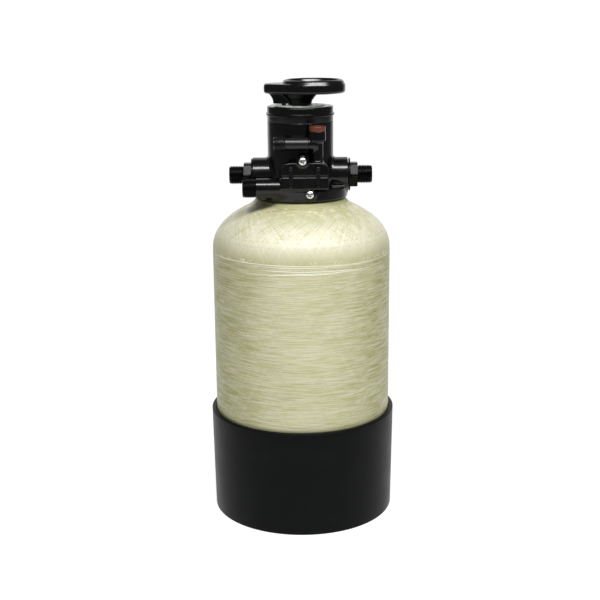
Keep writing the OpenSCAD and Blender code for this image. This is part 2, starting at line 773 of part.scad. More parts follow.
module injector_housing() {
    color([0.05, 0.05, 0.055]) on_neck() difference() {
        union() {
            translate([housing_x, -housing_back, housing_z])
                to_front() linear_extrude(housing_front - housing_back) housing_outline();
            translate([upper_screw[0], -lug_back, upper_screw[1]])
                to_front() cylinder(r = lug_r, h = lug_front - lug_back);
            translate([column_x, column_y, housing_z + 4]) cylinder(r = column_r, h = cup_z - housing_z);
            translate([column_x, column_y, cup_z - 3]) cylinder(r1 = column_r, r2 = cup_d / 2, h = 3 + eps);
            translate([column_x, column_y, cup_z]) cylinder(d = cup_d, h = cup_top - cup_z);
            translate([column_x, column_y, brine_h])
                along_x(-1) cylinder(r = brine_r, h = column_x - joint_x);
        }
        translate([column_x, column_y, housing_z + 2]) cylinder(r = column_bore, h = cup_top - housing_z);
        translate([column_x, column_y, cup_floor]) cylinder(r = cup_bore, h = 30);
        translate([column_x, column_y, brine_h])
            along_x(-1) cylinder(r = brine_bore - 0.5, h = column_x - joint_x + 1);
        translate([socket_x, column_y, brine_h])
            along_x(-1) cylinder(r = spout_r + fit_gap, h = socket_x - joint_x + 1);
        translate([socket_x - 1.2, column_y, brine_h])
            along_x(-1) cylinder(r = spout_r + 1, h = 2);
        translate([way_x, column_y, housing_z - 1]) cylinder(r = ledge_way_r, h = 7);
        translate([way_x, column_y, housing_z + 2 + throat_way_z])
            along_x(1) cylinder(r = throat_way_r, h = column_x - way_x);
        translate([upper_screw[0], -30, upper_screw[1]]) to_front() cylinder(r = shank_r + 0.25, h = 40);
        clip_slots(clip_top - clip_hook_h);
    }
}

module injector_gasket() {
    color([0.04, 0.04, 0.04]) on_neck() difference() {
        translate([housing_x - housing_w / 2 + 1, -housing_front + 1, ledge_top])
            cube([housing_w - 2, housing_front - housing_back - 1.6, gasket_h]);
        translate([way_x, column_y, ledge_top - 1]) cylinder(r = ledge_way_r, h = 4);
    }
}

module injector_throat() {
    color([0.90, 0.85, 0.70]) on_neck() translate([column_x, column_y, housing_z + throat_base]) difference() {
        cylinder(r = column_bore - 0.06, h = throat_h);
        translate([0, 0, -1]) cylinder(r = 1, h = 20);
        translate([0, 0, 5]) cylinder(r1 = 0.9, r2 = 2.9, h = 8 + eps);
        translate([0, 0, throat_way_z]) along_x(-1) cylinder(r = throat_way_r, h = 10);
    }
}

module injector_nozzle() {
    color([0.90, 0.85, 0.70]) on_neck() translate([column_x, column_y, nozzle_z]) difference() {
        cylinder(r = column_bore - 0.06, h = nozzle_h);
        translate([0, 0, -1]) cylinder(r = 1, h = 20);
        translate([0, 0, 6]) cylinder(r1 = 0.9, r2 = 2.9, h = 6 + eps);
    }
}

module brine_strainer() {
    screen_h = cup_floor - 0.4 - screen_z;
    color([0.80, 0.82, 0.84]) on_neck() translate([column_x, column_y, screen_z]) difference() {
        ring(column_bore - 0.06, column_bore - 0.9, screen_h);
        for (z = [2.4 : 2.4 : screen_h - 2.2])
            for (a = [0 : 60 : 300])
                rotate(a) translate([0, -0.7, z]) cube([8, 1.4, 1]);
    }
}

// Two clips that hold the housing on the ledge
module housing_clips() {
    color([0.06, 0.06, 0.065]) on_neck()
        for (x = clip_xs) translate([x - clip_w / 2, -housing_front - clip_t, clip_base]) {
            cube([clip_w, clip_t - 0.05, clip_top - clip_base]);
            for (z = [0, clip_top - clip_base - clip_hook_h])
                translate([0, 0, z]) cube([clip_w, clip_t + clip_hook, clip_hook_h]);
        }
}

module column_cap() {
    color([0.55, 0.22, 0.17]) on_neck() translate([column_x, column_y, 0]) difference() {
        union() {
            translate([0, 0, cup_top + 0.05]) rotate_extrude() polygon([[0, 0], [cap_disc_d / 2, 0],
                [cap_disc_d / 2, cap_disc_t - 0.8], [cap_disc_d / 2 - 0.8, cap_disc_t], [0, cap_disc_t]]);
            translate([0, 0, cup_floor + 0.05]) cylinder(r = cup_bore - fit_gap, h = cup_top - cup_floor);
        }
        translate([0, 0, cup_floor + 2]) ring(cup_bore + 1, cup_bore - 2.3, 2.6);
    }
}

module column_cap_o_ring() {
    color([0.05, 0.05, 0.05]) on_neck()
        translate([column_x, column_y, cup_floor + 3.3]) o_ring(cup_bore - 1.2, 1.1);
}

// Brine connector built along X towards -X
module brine_connector() {
    thread_at = brine_reach - brine_thread_len;
    color([0.055, 0.055, 0.06]) on_neck() translate([0, column_y, brine_h]) difference() {
        union() {
            translate([joint_x - 0.1, 0, 0])
                along_x(-1) cylinder(r = brine_r, h = joint_x - 0.1 + thread_at);
            translate([socket_x - 0.1, 0, 0]) along_x(-1) cylinder(r = spout_r, h = socket_x - joint_x + 1);
            translate([-thread_at + eps, 0, 0])
                along_x(-1) thread_bar(brine_thread_d / 2, brine_pitch, brine_depth, brine_thread_len + eps);
        }
        translate([socket_x + 1, 0, 0])
            along_x(-1) cylinder(r = brine_bore - 0.6, h = socket_x + brine_reach + 2);
        translate([-thread_at, 0, 0]) along_x(-1) cylinder(r = brine_bore + 0.6, h = brine_thread_len + 1);
        translate([socket_x - 1.3, 0, 0]) along_x(-1) ring(spout_r + 1, spout_r - 1, 1.8);
    }
}

module brine_o_ring() {
    color([0.05, 0.05, 0.05]) on_neck() translate([socket_x - 2.2, column_y, brine_h])
        along_x(-1) o_ring(spout_r - 0.05, 0.85);
}

module brine_flow_control() {
    thread_at = brine_reach - brine_thread_len;
    color([0.12, 0.12, 0.12]) on_neck() translate([-thread_at, column_y, brine_h])
        along_x(-1) ring(brine_bore + 0.5, 0.9, 3);
}

tank_boot();
tank_shell();
tank_liner();
riser_tube();
bottom_distributor();
top_distributor();
resin_bed();
gravel_bed();
neck_o_ring();
riser_o_ring();
valve_body();
valve_cap();
cap_o_ring();
position_plate();
disc_seal();
fixed_disc();
friction_washer();
inlet_nipple();
outlet_nipple();
inlet_gasket();
outlet_gasket();
drain_flow_control();
injector_housing();
injector_gasket();
injector_nozzle();
injector_throat();
brine_strainer();
housing_clips();
pan_screws();
column_cap();
column_cap_o_ring();
brine_connector();
brine_o_ring();
brine_flow_control();
handle();
handle_screw();
valve_stem();
moving_disc();
stem_o_rings();
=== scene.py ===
"""Looks of a manual water softener: a wound glass tank in a boot, with a rotary disc valve on its neck."""
import math

import bpy
import numpy as np
from bpy.props import FloatProperty, FloatVectorProperty, IntProperty, PointerProperty
from mathutils import Matrix, Vector


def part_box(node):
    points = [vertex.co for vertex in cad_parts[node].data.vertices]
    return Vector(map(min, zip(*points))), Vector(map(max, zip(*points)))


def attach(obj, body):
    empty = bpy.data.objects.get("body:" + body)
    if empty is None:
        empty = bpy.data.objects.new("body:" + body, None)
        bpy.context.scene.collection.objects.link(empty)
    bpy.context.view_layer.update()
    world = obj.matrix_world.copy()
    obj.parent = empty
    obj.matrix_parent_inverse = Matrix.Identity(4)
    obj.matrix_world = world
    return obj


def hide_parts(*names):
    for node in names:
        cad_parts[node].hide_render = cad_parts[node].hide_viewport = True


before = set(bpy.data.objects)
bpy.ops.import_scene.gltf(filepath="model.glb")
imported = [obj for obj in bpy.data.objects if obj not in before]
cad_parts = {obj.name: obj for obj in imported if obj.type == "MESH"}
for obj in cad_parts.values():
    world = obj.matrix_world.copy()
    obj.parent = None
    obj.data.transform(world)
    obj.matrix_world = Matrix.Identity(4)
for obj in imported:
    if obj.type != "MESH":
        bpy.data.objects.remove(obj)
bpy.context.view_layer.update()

bl_info = {
    "name": "Water softener",
    "version": (1, 0, 0),
    "blender": (4, 5, 0),
    "location": "3D View > Sidebar > Softener",
    "description": "Dresses the packed solids of a water softener",
    "category": "Object",
}

MM = 0.001
ROOT = "softener"
TURNING = "turning_handle"
NECK_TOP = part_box("tank_shell")[1].z / MM
TANK_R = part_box("tank_shell")[1].x / MM
# Radius of the small ring that ends a turned section at its axis, in millimetres
POLE_R = 0.02
FINISH = {}
rng = np.random.default_rng(7)


# Mesh building
def mesh_piece(name, points, faces, material, body, nodes=(), slot=None, normals=None, uv=None):
    """A mesh piece from points in millimetres and an array of quads or a list of faces."""
    mesh = bpy.data.meshes.new(name)
    points = np.asarray(points, np.float64) * MM
    if isinstance(faces, np.ndarray):
        count, corners = faces.shape
        mesh.vertices.add(len(points))
        mesh.vertices.foreach_set("co", points.ravel())
        mesh.loops.add(count * corners)
        mesh.loops.foreach_set("vertex_index", faces.ravel().astype(np.int32))
        mesh.polygons.add(count)
        mesh.polygons.foreach_set("loop_start", np.arange(count, dtype=np.int32) * corners)
        mesh.update(calc_edges=True)
    else:
        mesh.from_pydata(points.tolist(), [], faces)
    if uv is not None:
        layer = mesh.uv_layers.new(name="winding")
        layer.data.foreach_set("uv", np.asarray(uv, np.float32).ravel())
    mesh.validate()
    mesh.polygons.foreach_set("use_smooth", np.ones(len(mesh.polygons), bool))
    if normals is not None:
        mesh.normals_split_custom_set_from_vertices(normals)
    mesh.materials.append(material)
    obj = bpy.data.objects.new(name, mesh)
    bpy.context.scene.collection.objects.link(obj)
    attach(obj, body)
    if nodes:
        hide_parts(*nodes)
    return obj


def sharpen(obj, degrees):
    """Keeps edges steeper than an angle crisp."""
    obj.data.set_sharp_from_angle(angle=math.radians(degrees))


def rounded(corners, closed=False, arc=5):
    """Points of a section whose corners (r, z, fillet) are rounded by their own fillet."""
    straight, most = 0.02, 0.48
    out = []
    n = len(corners)
    for i, (r, z, fillet) in enumerate(corners):
        here = np.array((r, z), float)
        if fillet <= 0 or (not closed and i in (0, n - 1)):
            out.append(here)
            continue
        a = np.array(corners[i - 1][:2], float) - here
        b = np.array(corners[(i + 1) % n][:2], float) - here
        la, lb = np.hypot(*a), np.hypot(*b)
        a, b = a / la, b / lb
        angle = math.acos(max(-1.0, min(1.0, float(a @ b))))
        if angle > math.pi - straight:
            out.append(here)
            continue
        t = min(fillet / math.tan(angle / 2), most * la, most * lb)
        radius = t * math.tan(angle / 2)
        middle = here + (a + b) / np.linalg.norm(a + b) * radius / math.sin(angle / 2)
        start = here + a * t - middle
        turn = math.pi - angle
        sign = 1.0 if a[0] * b[1] - a[1] * b[0] < 0 else -1.0
        for k in range(arc + 1):
            w = sign * turn * k / arc
            c, s = math.cos(w), math.sin(w)
            out.append(middle + np.array((c * start[0] - s * start[1], s * start[0] + c * start[1])))
    return np.array(out)


def grid_quads(rows, steps, closed):
    """Quads of a grid that closes round its steps, and round its rows too where it is closed."""
    i, j = np.meshgrid(np.arange(rows if closed else rows - 1), np.arange(steps), indexing="ij")
    k, m = (i + 1) % rows, (j + 1) % steps
    return np.stack([i * steps + j, i * steps + m, k * steps + m, k * steps + j], -1).reshape(-1, 4)


def spun(section, steps, closed, place=Matrix.Identity(4), thread=None):
    """A form turned round Z from section rows (r, z), as a closed ring or with flat ends.
    thread (start, end, pitch, depth, radius) cuts a helix between two heights."""
    section = np.asarray(section, float)
    theta = np.arange(steps) * 2 * np.pi / steps
    r = np.repeat(section[:, :1], steps, 1)
    z = np.repeat(section[:, 1:2], steps, 1)
    if thread:
        z0, z1, pitch, depth, outer = thread
        peak, flank, root, slack = 1.75, 3.5, 0.35, 0.02
        phase = (z - z0) / pitch - theta[None, :] / (2 * np.pi)
        ridge = np.clip(peak - flank * np.abs(phase - np.floor(phase) - 0.5) - root, 0, 1)
        fade = np.clip((z - z0) / pitch, 0, 1) * np.clip((z1 - z) / pitch, 0, 1)
        on = (r > outer - slack) & (z >= z0) & (z <= z1)
        r = np.where(on, r - depth * (1 - ridge * fade), r)
    points = np.stack([r * np.cos(theta), r * np.sin(theta), z], -1).reshape(-1, 3)
    rows = len(section)
    quads = grid_quads(rows, steps, closed)
    points = placed(points, place)
    if closed:
        return points, quads
    ends = [list(range(steps))[::-1], list(range((rows - 1) * steps, rows * steps))]
    return points, quads.tolist() + ends


def placed(points, place):
    """Points moved by a matrix."""
    m = np.array(place)
    return points @ m[:3, :3].T + m[:3, 3]


def turned(name, section, steps, closed, place, kind, node, slot, crisp, thread=None):
    """A turned piece of the fixed body, with its edges steeper than crisp degrees kept sharp."""
    points, faces = spun(section, steps, closed, place, thread)
    obj = mesh_piece(name, points, faces, FINISH[kind], ROOT, [node], slot)
    sharpen(obj, crisp)


def axis_place(direction, at):
    """Matrix that stands a turned form on a point in millimetres, with its Z along a direction."""
    turn = Vector((0, 0, 1)).rotation_difference(Vector(direction)).to_matrix().to_4x4()
    return Matrix.Translation(Vector(at)) @ turn


def thread_rows(r, z0, z1, pitch):
    """Section rows close enough to carry a helix."""
    rows_per_turn = 9
    count = max(4, int((z1 - z0) / pitch * rows_per_turn))
    return [(r, z0 + (z1 - z0) * k / count) for k in range(count + 1)]


# Moulded forms from distance fields
def soft_min(a, b, k):
    h = np.maximum(k - np.abs(a - b), 0) / k
    return np.minimum(a, b) - h * h * k * 0.25


def soft_max(a, b, k):
    return -soft_min(-a, -b, k)


def edge(q, h, e):
    """Round edge where two distances meet."""
    q, h = q + e, h + e
    return np.minimum(np.maximum(q, h), 0) + np.hypot(np.maximum(q, 0), np.maximum(h, 0)) - e


def rod(p, axis, at, r, lo, hi, e):
    """Cylinder along an axis (0 to 2), with its middle at the two other coordinates."""
    u, v = [p[k] for k in range(3) if k != axis]
    return edge(np.hypot(u - at[0], v - at[1]) - r, np.abs(p[axis] - (lo + hi) / 2) - (hi - lo) / 2, e)


def block(p, lo, hi, e):
    """Box with round edges."""
    q = [np.abs(c - (a + b) / 2) - (b - a) / 2 + e for c, a, b in zip(p, lo, hi)]
    outside = np.sqrt(sum(np.maximum(c, 0) ** 2 for c in q))
    return outside + np.minimum(np.maximum(np.maximum(q[0], q[1]), q[2]), 0) - e


def gradient(field, p, step=0.05):
    g = np.empty_like(p)
    for axis in range(3):
        d = np.zeros(3)
        d[axis] = step
        g[:, axis] = field(*(p + d).T) - field(*(p - d).T)
    return g / (2 * step)


def settle(field, points, rounds, reach):
    """Points moved onto the field's zero surface, each round by no more than a reach."""
    least = 0.2
    for _ in range(rounds):
        g = gradient(field, points)
        step = field(*points.T)[:, None] * g / np.maximum((g * g).sum(1), least)[:, None]
        points = points - np.clip(step, -reach, reach)
    return points


def net(field, lo, hi, cell):
    """Points and quads of the field's zero surface on a grid."""
    axes = [np.arange(a, b + cell, cell) for a, b in zip(lo, hi)]
    grid = np.meshgrid(*axes, indexing="ij", sparse=True)
    d = np.broadcast_to(field(*grid), [len(a) for a in axes]).astype(np.float32)
    s = d < 0
    cells = tuple(n - 1 for n in d.shape)
    total = np.zeros(cells + (3,), np.float32)
    count = np.zeros(cells, np.int16)

    def cut(a, axis, start, stop):
        take = [slice(None)] * 3
        take[axis] = slice(start, stop)
        return a[tuple(take)]

    crossings = []
    for axis in range(3):
        o1, o2 = [a for a in range(3) if a != axis]
        d0, d1 = cut(d, axis, 0, -1), cut(d, axis, 1, None)
        cross = cut(s, axis, 0, -1) != cut(s, axis, 1, None)
        t = np.where(cross, d0 / np.where(cross, d0 - d1, 1), 0)
        crossings.append(cross)
        for i in (0, 1):
            for j in (0, 1):
                c = cut(cut(cross, o1, i, cells[o1] + i), o2, j, cells[o2] + j)
                total[..., axis] += cut(cut(t, o1, i, cells[o1] + i), o2, j, cells[o2] + j)
                total[..., o1] += i * c
                total[..., o2] += j * c
                count += c
    has = count > 0
    index = np.full(cells, -1, np.int64)
    index[has] = np.arange(int(has.sum()))
    at = np.argwhere(has)
    points = (at + total[has] / count[has][:, None]) * cell + np.array([a[0] for a in axes])
    quads = []
    for axis in range(3):
        o1, o2 = [a for a in range(3) if a != axis]
        edges = np.argwhere(crossings[axis])
        keep = (edges[:, o1] > 0) & (edges[:, o2] > 0)
        keep &= (edges[:, o1] < cells[o1]) & (edges[:, o2] < cells[o2])
        edges = edges[keep]
        ring = []
        for i, j in ((1, 1), (0, 1), (0, 0), (1, 0)):
            e = edges.copy()
            e[:, o1] -= i
            e[:, o2] -= j
            ring.append(index[tuple(e.T)])
        q = np.stack(ring, 1)
        flip = s[tuple(edges.T)]
        if axis == 1:
            flip = ~flip
        q[~flip] = q[~flip][:, ::-1]
        quads.append(q)
    points = settle(field, points.astype(np.float64), rounds=3, reach=cell / 2)
    return points, np.concatenate(quads)


def moulded(name, field, lo, hi, cell, keep, kind, body, node, slot):
    """A piece from a distance field in millimetres above the neck, thinned to a share of its faces."""
    points, quads = net(field, lo, hi, cell)
    rough = bpy.data.meshes.new(name + "_grid")
    rough.from_pydata(points.tolist(), [], quads.tolist())
    obj = bpy.data.objects.new(name + "_grid", rough)
    bpy.context.scene.collection.objects.link(obj)
    thin = obj.modifiers.new("thin", "DECIMATE")
    thin.ratio = keep
    bpy.context.view_layer.update()
    done = obj.evaluated_get(bpy.context.evaluated_depsgraph_get()).to_mesh()
    done.calc_loop_triangles()
    points = np.empty(len(done.vertices) * 3)
    done.vertices.foreach_get("co", points)
    points = points.reshape(-1, 3)
    faces = np.empty(len(done.loop_triangles) * 3, np.int32)
    done.loop_triangles.foreach_get("vertices", faces)
    faces = faces.reshape(-1, 3)
    bpy.data.objects.remove(obj)
    bpy.data.meshes.remove(rough)
    points = settle(field, points, rounds=2, reach=0.3)
    g = gradient(field, points)
    normals = g / np.maximum(np.linalg.norm(g, axis=1), 1e-6)[:, None]
    points = points + np.array((0, 0, NECK_TOP))
    mesh_piece(name, points, faces, FINISH[kind], body, [node], slot, normals)


# Node tools
def add(tree, kind, ins=None, **props):
    """A node with its properties set and its inputs set or linked."""
    node = tree.nodes.new(kind)
    for key, value in props.items():
        setattr(node, key, value)
    for key, value in (ins or {}).items():
        socket = node.inputs[key]
        if isinstance(value, bpy.types.NodeSocket):
            tree.links.new(value, socket)
        else:
            socket.default_value = value
    return node


def maths(tree, op, a, b=0.0, clamp=False):
    return add(tree, "ShaderNodeMath", {0: a, 1: b}, operation=op, use_clamp=clamp).outputs[0]


def times(tree, a, b):
    return maths(tree, "MULTIPLY", a, b)


def plus(tree, a, b, clamp=False):
    return maths(tree, "ADD", a, b, clamp)


def blend(tree, factor, a, b):
    return add(tree, "ShaderNodeMix", {0: factor, 6: a, 7: b}, data_type="RGBA").outputs[2]


def choose(tree, factor, a, b):
    return add(tree, "ShaderNodeMix", {0: factor, 2: a, 3: b}, data_type="FLOAT").outputs[0]


def spread(tree, value, lo, hi, out_lo=0.0, out_hi=1.0):
    node = add(tree, "ShaderNodeMapRange", {0: value, 1: lo, 2: hi, 3: out_lo, 4: out_hi}, clamp=True)
    return node.outputs[0]


def noise(tree, at, scale, detail, roughness=0.5):
    values = {"Vector": at, "Scale": scale, "Detail": detail, "Roughness": roughness}
    return add(tree, "ShaderNodeTexNoise", values).outputs[0]


def group(name, inputs, outputs):
    """An empty node group with its sockets, and its tree's ends."""
    tree = bpy.data.node_groups.new(name, "ShaderNodeTree")
    for label, kind, value in inputs:
        socket = tree.interface.new_socket(label, in_out="INPUT", socket_type=kind)
        socket.default_value = value
    for label, kind in outputs:
        tree.interface.new_socket(label, in_out="OUTPUT", socket_type=kind)
    return tree, tree.nodes.new("NodeGroupInput").outputs, tree.nodes.new("NodeGroupOutput").inputs


def rgba(colour):
    return (*colour[:3], 1.0)


FLOAT, COLOUR = "NodeSocketFloat", "NodeSocketColor"


def moulding_group():
    """Cloudy tint, fine grain and rubbed patches of a moulded surface."""
    tree, given, out = group(
        "Moulded surface",
        [("Colour", COLOUR, (0.5, 0.5, 0.5, 1)), ("Rubbed", COLOUR, (0.6, 0.6, 0.6, 1)),
         ("Patch size", FLOAT, 60.0), ("Grain size", FLOAT, 2500.0),
         ("Roughness", FLOAT, 0.4), ("Unevenness", FLOAT, 0.1)],
        [("Colour", COLOUR), ("Roughness", FLOAT), ("Height", FLOAT)],
    )
    at = add(tree, "ShaderNodeTexCoord").outputs["Object"]
    patch = noise(tree, at, given["Patch size"], 5.0, 0.62)
    grain = noise(tree, at, given["Grain size"], 2.0)
    rub = spread(tree, patch, 0.48, 0.75)
    tree.links.new(blend(tree, rub, given["Colour"], given["Rubbed"]), out["Colour"])
    swing = times(tree, maths(tree, "SUBTRACT", patch, 0.5), given["Unevenness"])
    fine = times(tree, maths(tree, "SUBTRACT", grain, 0.5), given["Unevenness"])
    both = plus(tree, times(tree, swing, 2.0), fine)
    tree.links.new(plus(tree, given["Roughness"], both, True), out["Roughness"])
    tree.links.new(plus(tree, grain, times(tree, patch, 0.6)), out["Height"])
    return tree


def strand_group():
    """Strands that run along one phase of the winding, unbroken round the tank."""
    tree, given, out = group(
        "Wound strands",
        [("Phase", FLOAT, 0.0), ("Along", FLOAT, 0.0), ("Strands", FLOAT, 40.0), ("Change", FLOAT, 3.0)],
        [("Strand", FLOAT)],
    )
    angle = times(tree, given["Phase"], 2 * math.pi)
    vector = add(tree, "ShaderNodeCombineXYZ", {
        0: times(tree, maths(tree, "COSINE", angle), given["Strands"]),
        1: times(tree, maths(tree, "SINE", angle), given["Strands"]),
        2: times(tree, given["Along"], given["Change"]),
    }).outputs[0]
    tree.links.new(noise(tree, vector, 1.0, 3.0, 0.7), out["Strand"])
    return tree


def hoop_group():
    """Hoop strands as streaks that are long round the tank and thin up it, over cloudy resin."""
    tree, given, out = group(
        "Hoop strands",
        [("Fine", FLOAT, 0.0012), ("Coarse", FLOAT, 0.004), ("Round", FLOAT, 42.0)],
        [("Streak", FLOAT), ("Cloud", FLOAT)],
    )
    at = add(tree, "ShaderNodeTexCoord").outputs["Object"]
    xyz = add(tree, "ShaderNodeSeparateXYZ", {0: at}).outputs
    wander = noise(tree, at, 7.0, 1.0)
    height = plus(tree, xyz[2], times(tree, wander, 0.0016))
    layers = []
    for size, swing, weight in (("Fine", 1.0, 0.7), ("Coarse", 0.6, 0.3)):
        around = times(tree, given["Round"], swing)
        vector = add(tree, "ShaderNodeCombineXYZ", {
            0: times(tree, xyz[0], around),
            1: times(tree, xyz[1], around),
            2: maths(tree, "DIVIDE", height, given[size]),
        }).outputs[0]
        layers.append(times(tree, noise(tree, vector, 1.0, 2.0, 0.6), weight))
    tree.links.new(plus(tree, layers[0], layers[1]), out["Streak"])
    tree.links.new(noise(tree, at, 24.0, 5.0, 0.65), out["Cloud"])
    return tree


def recess_group():
    """Painted shade: darkness in narrow recesses, where ambient occlusion finds the room closed in."""
    tree, given, out = group("Recess shade", [("Reach", FLOAT, 0.002)], [("Mask", FLOAT)])
    open_sky = add(tree, "ShaderNodeAmbientOcclusion", {"Distance": given["Reach"]}, samples=8)
    tree.links.new(spread(tree, open_sky.outputs["AO"], 0.75, 0.3), out["Mask"])
    return tree


def shader(name, sockets):
    """A material with a bare Principled BSDF and its constant sockets set."""
    material = bpy.data.materials.new(name)
    material.use_nodes = True
    tree = material.node_tree
    tree.nodes.clear()
    surface = add(tree, "ShaderNodeBsdfPrincipled", sockets)
    end = add(tree, "ShaderNodeOutputMaterial", {"Surface": surface.outputs[0]})
    end.is_active_output = True
    return material, tree, surface.inputs


def shared(tree, name):
    """A use of one of the shared effects."""
    return add(tree, "ShaderNodeGroup", node_tree=bpy.data.node_groups[name])


def finish(name, colour, rubbed, roughness, unevenness, patch, grain, bump=0.00004, metallic=0.0,
           specular=0.4, ior=1.5):
    """A moulded, turned or ground finish with its own patches and grain, counted per metre."""
    material, tree, surface = shader(name, {"Metallic": metallic, "Specular IOR Level": specular, "IOR": ior})
    look = shared(tree, "Moulded surface")
    for key, value in (("Colour", rgba(colour)), ("Rubbed", rgba(rubbed)), ("Patch size", patch),
                       ("Grain size", grain), ("Roughness", roughness), ("Unevenness", unevenness)):
        look.inputs[key].default_value = value
    relief = {"Strength": 0.35, "Distance": bump, "Height": look.outputs["Height"]}
    tree.links.new(look.outputs["Colour"], surface["Base Color"])
    tree.links.new(look.outputs["Roughness"], surface["Roughness"])
    tree.links.new(add(tree, "ShaderNodeBump", relief).outputs[0], surface["Normal"])
    return material


def recessed(material, reach, colour):
    """The finish with its narrow recesses darkened by painted shade."""
    tree = material.node_tree
    surface = next(n for n in tree.nodes if n.type == "BSDF_PRINCIPLED").inputs["Base Color"]
    mask = shared(tree, "Recess shade")
    mask.inputs["Reach"].default_value = reach
    clean = surface.links[0].from_socket
    tree.links.new(blend(tree, mask.outputs[0], clean, rgba(colour)), surface)
    return material


def bead_finish(name, colour, second, size, roughness):
    """A bed of loose beads or stones."""
    material, tree, surface = shader(name, {"Specular IOR Level": 0.4})
    at = add(tree, "ShaderNodeTexCoord").outputs["Object"]
    beads = add(tree, "ShaderNodeTexVoronoi", {"Vector": at, "Scale": 1.0 / size})
    pick = add(tree, "ShaderNodeSeparateColor", {0: beads.outputs["Color"]}).outputs[0]
    look = shared(tree, "Moulded surface")
    tree.links.new(blend(tree, pick, rgba(colour), rgba(second)), look.inputs["Colour"])
    look.inputs["Rubbed"].default_value = rgba(second)
    look.inputs["Roughness"].default_value = roughness
    height = maths(tree, "SUBTRACT", 1.0, times(tree, beads.outputs["Distance"], 1.6))
    relief = {"Strength": 0.8, "Distance": size * 0.4, "Height": height}
    tree.links.new(look.outputs["Colour"], surface["Base Color"])
    tree.links.new(look.outputs["Roughness"], surface["Roughness"])
    tree.links.new(add(tree, "ShaderNodeBump", relief).outputs[0], surface["Normal"])
    return material


def wound_finish(name, look):
    """Resin-wet glass strands: hoops below their edge, crossing strands above and faintly under them."""
    material, tree, surface = shader(name, {"Specular IOR Level": 0.34, "Coat Roughness": 0.25, "IOR": 1.5})
    at = add(tree, "ShaderNodeTexCoord").outputs["Object"]
    z = add(tree, "ShaderNodeSeparateXYZ", {0: at}).outputs[2]
    winding = add(tree, "ShaderNodeUVMap", uv_map="winding").outputs[0]
    phases = add(tree, "ShaderNodeSeparateXYZ", {0: winding}).outputs
    hoops = shared(tree, "Hoop strands")
    hoops.inputs["Fine"].default_value = look.hoop_pitch * 0.45
    crossing = []
    for a, b in ((0, 1), (1, 0)):
        strands = shared(tree, "Wound strands")
        tree.links.new(phases[a], strands.inputs["Phase"])
        tree.links.new(phases[b], strands.inputs["Along"])
        strands.inputs["Strands"].default_value = 42.0
        crossing.append(strands.outputs[0])
    cross = maths(tree, "MAXIMUM", crossing[0], crossing[1])
    neck, soft_edge, painted_rise_height, pool_and_shade_from, pool_and_shade_to = NECK_TOP * MM, 0.0006, 0.022, 0.024, 0.008
    on_hoops = spread(tree, maths(tree, "SUBTRACT", z, look.hoop_top), soft_edge, -soft_edge)
    streak = spread(tree, hoops.outputs["Streak"], 0.40, 0.62)
    cloud = spread(tree, hoops.outputs["Cloud"], 0.36, 0.68)
    strand = spread(tree, cross, 0.48, 0.74)

    # How white the strands show, on the hoops and above them; the whiteness rises up the dome as a painted
    # highlight, and drops below the neck as painted shade
    white_hoop = plus(tree, times(tree, streak, 0.42), times(tree, strand, 0.12), True)
    # Painted highlight: the crossing strands grow whiter up the dome from the hoops' edge
    painted_rise = spread(tree, z, look.hoop_top, look.hoop_top + painted_rise_height, 0.1, 1.0)
    # Band below the neck: resin pooling there, and painted shade under the valve, darker and less white
    pooled_and_shaded = spread(tree, z, neck - pool_and_shade_from, neck - pool_and_shade_to, 0.0, 0.8)
    bare = times(tree, maths(tree, "SUBTRACT", 1.0, pooled_and_shaded), painted_rise)
    white_cross = times(tree, plus(tree, times(tree, strand, 0.36), 0.58, True), bare)
    white = choose(tree, on_hoops, white_cross, white_hoop)

    # How the resin darkens: side on, in clouds and where it pools at the neck; the darker turned-away sides
    # and the dark band below the neck are painted shade as well
    facing = add(tree, "ShaderNodeLayerWeight", {"Blend": 0.5}).outputs["Facing"]
    # Painted shade: the resin colour darkens towards the turned-away sides, beside the colour of resin seen
    # at a slant
    turned_away = spread(tree, facing, 0.03, 0.5, 0.0, 0.85)
    side_depth_and_shade = times(tree, turned_away, spread(tree, on_hoops, 0.0, 1.0, 0.45, 1.0))
    deep_and_neck_shade = plus(tree, times(tree, cloud, 0.3), times(tree, pooled_and_shaded, 0.5))
    thick_and_shaded = plus(tree, side_depth_and_shade, deep_and_neck_shade, True)
    under = blend(tree, thick_and_shaded, rgba(look.resin), rgba(look.resin_deep_and_shade))
    wet = blend(tree, white, under, rgba(look.glass))
    # Painted shade under the valve: the shell near the collar and housing darkened where ambient occlusion
    # finds it closed in
    valve_shade = shared(tree, "Recess shade")
    valve_shade.inputs["Reach"].default_value = 0.026
    tree.links.new(blend(tree, valve_shade.outputs[0], wet, rgba(look.valve_shade)), surface["Base Color"])
    tree.links.new(maths(tree, "SUBTRACT", 0.44, times(tree, white, 0.12)), surface["Roughness"])
    tree.links.new(spread(tree, white, 0.0, 1.0, 0.02, 0.14), surface["Coat Weight"])
    height = choose(tree, on_hoops, cross, hoops.outputs["Streak"])
    bump = add(tree, "ShaderNodeBump", {"Strength": 0.8, "Distance": 0.0009, "Height": height})
    tree.links.new(bump.outputs[0], surface["Normal"])
    return material


# Properties
TINT = {"subtype": "COLOR", "size": 3, "min": 0, "max": 1}
LENGTH = {"subtype": "DISTANCE", "unit": "LENGTH"}


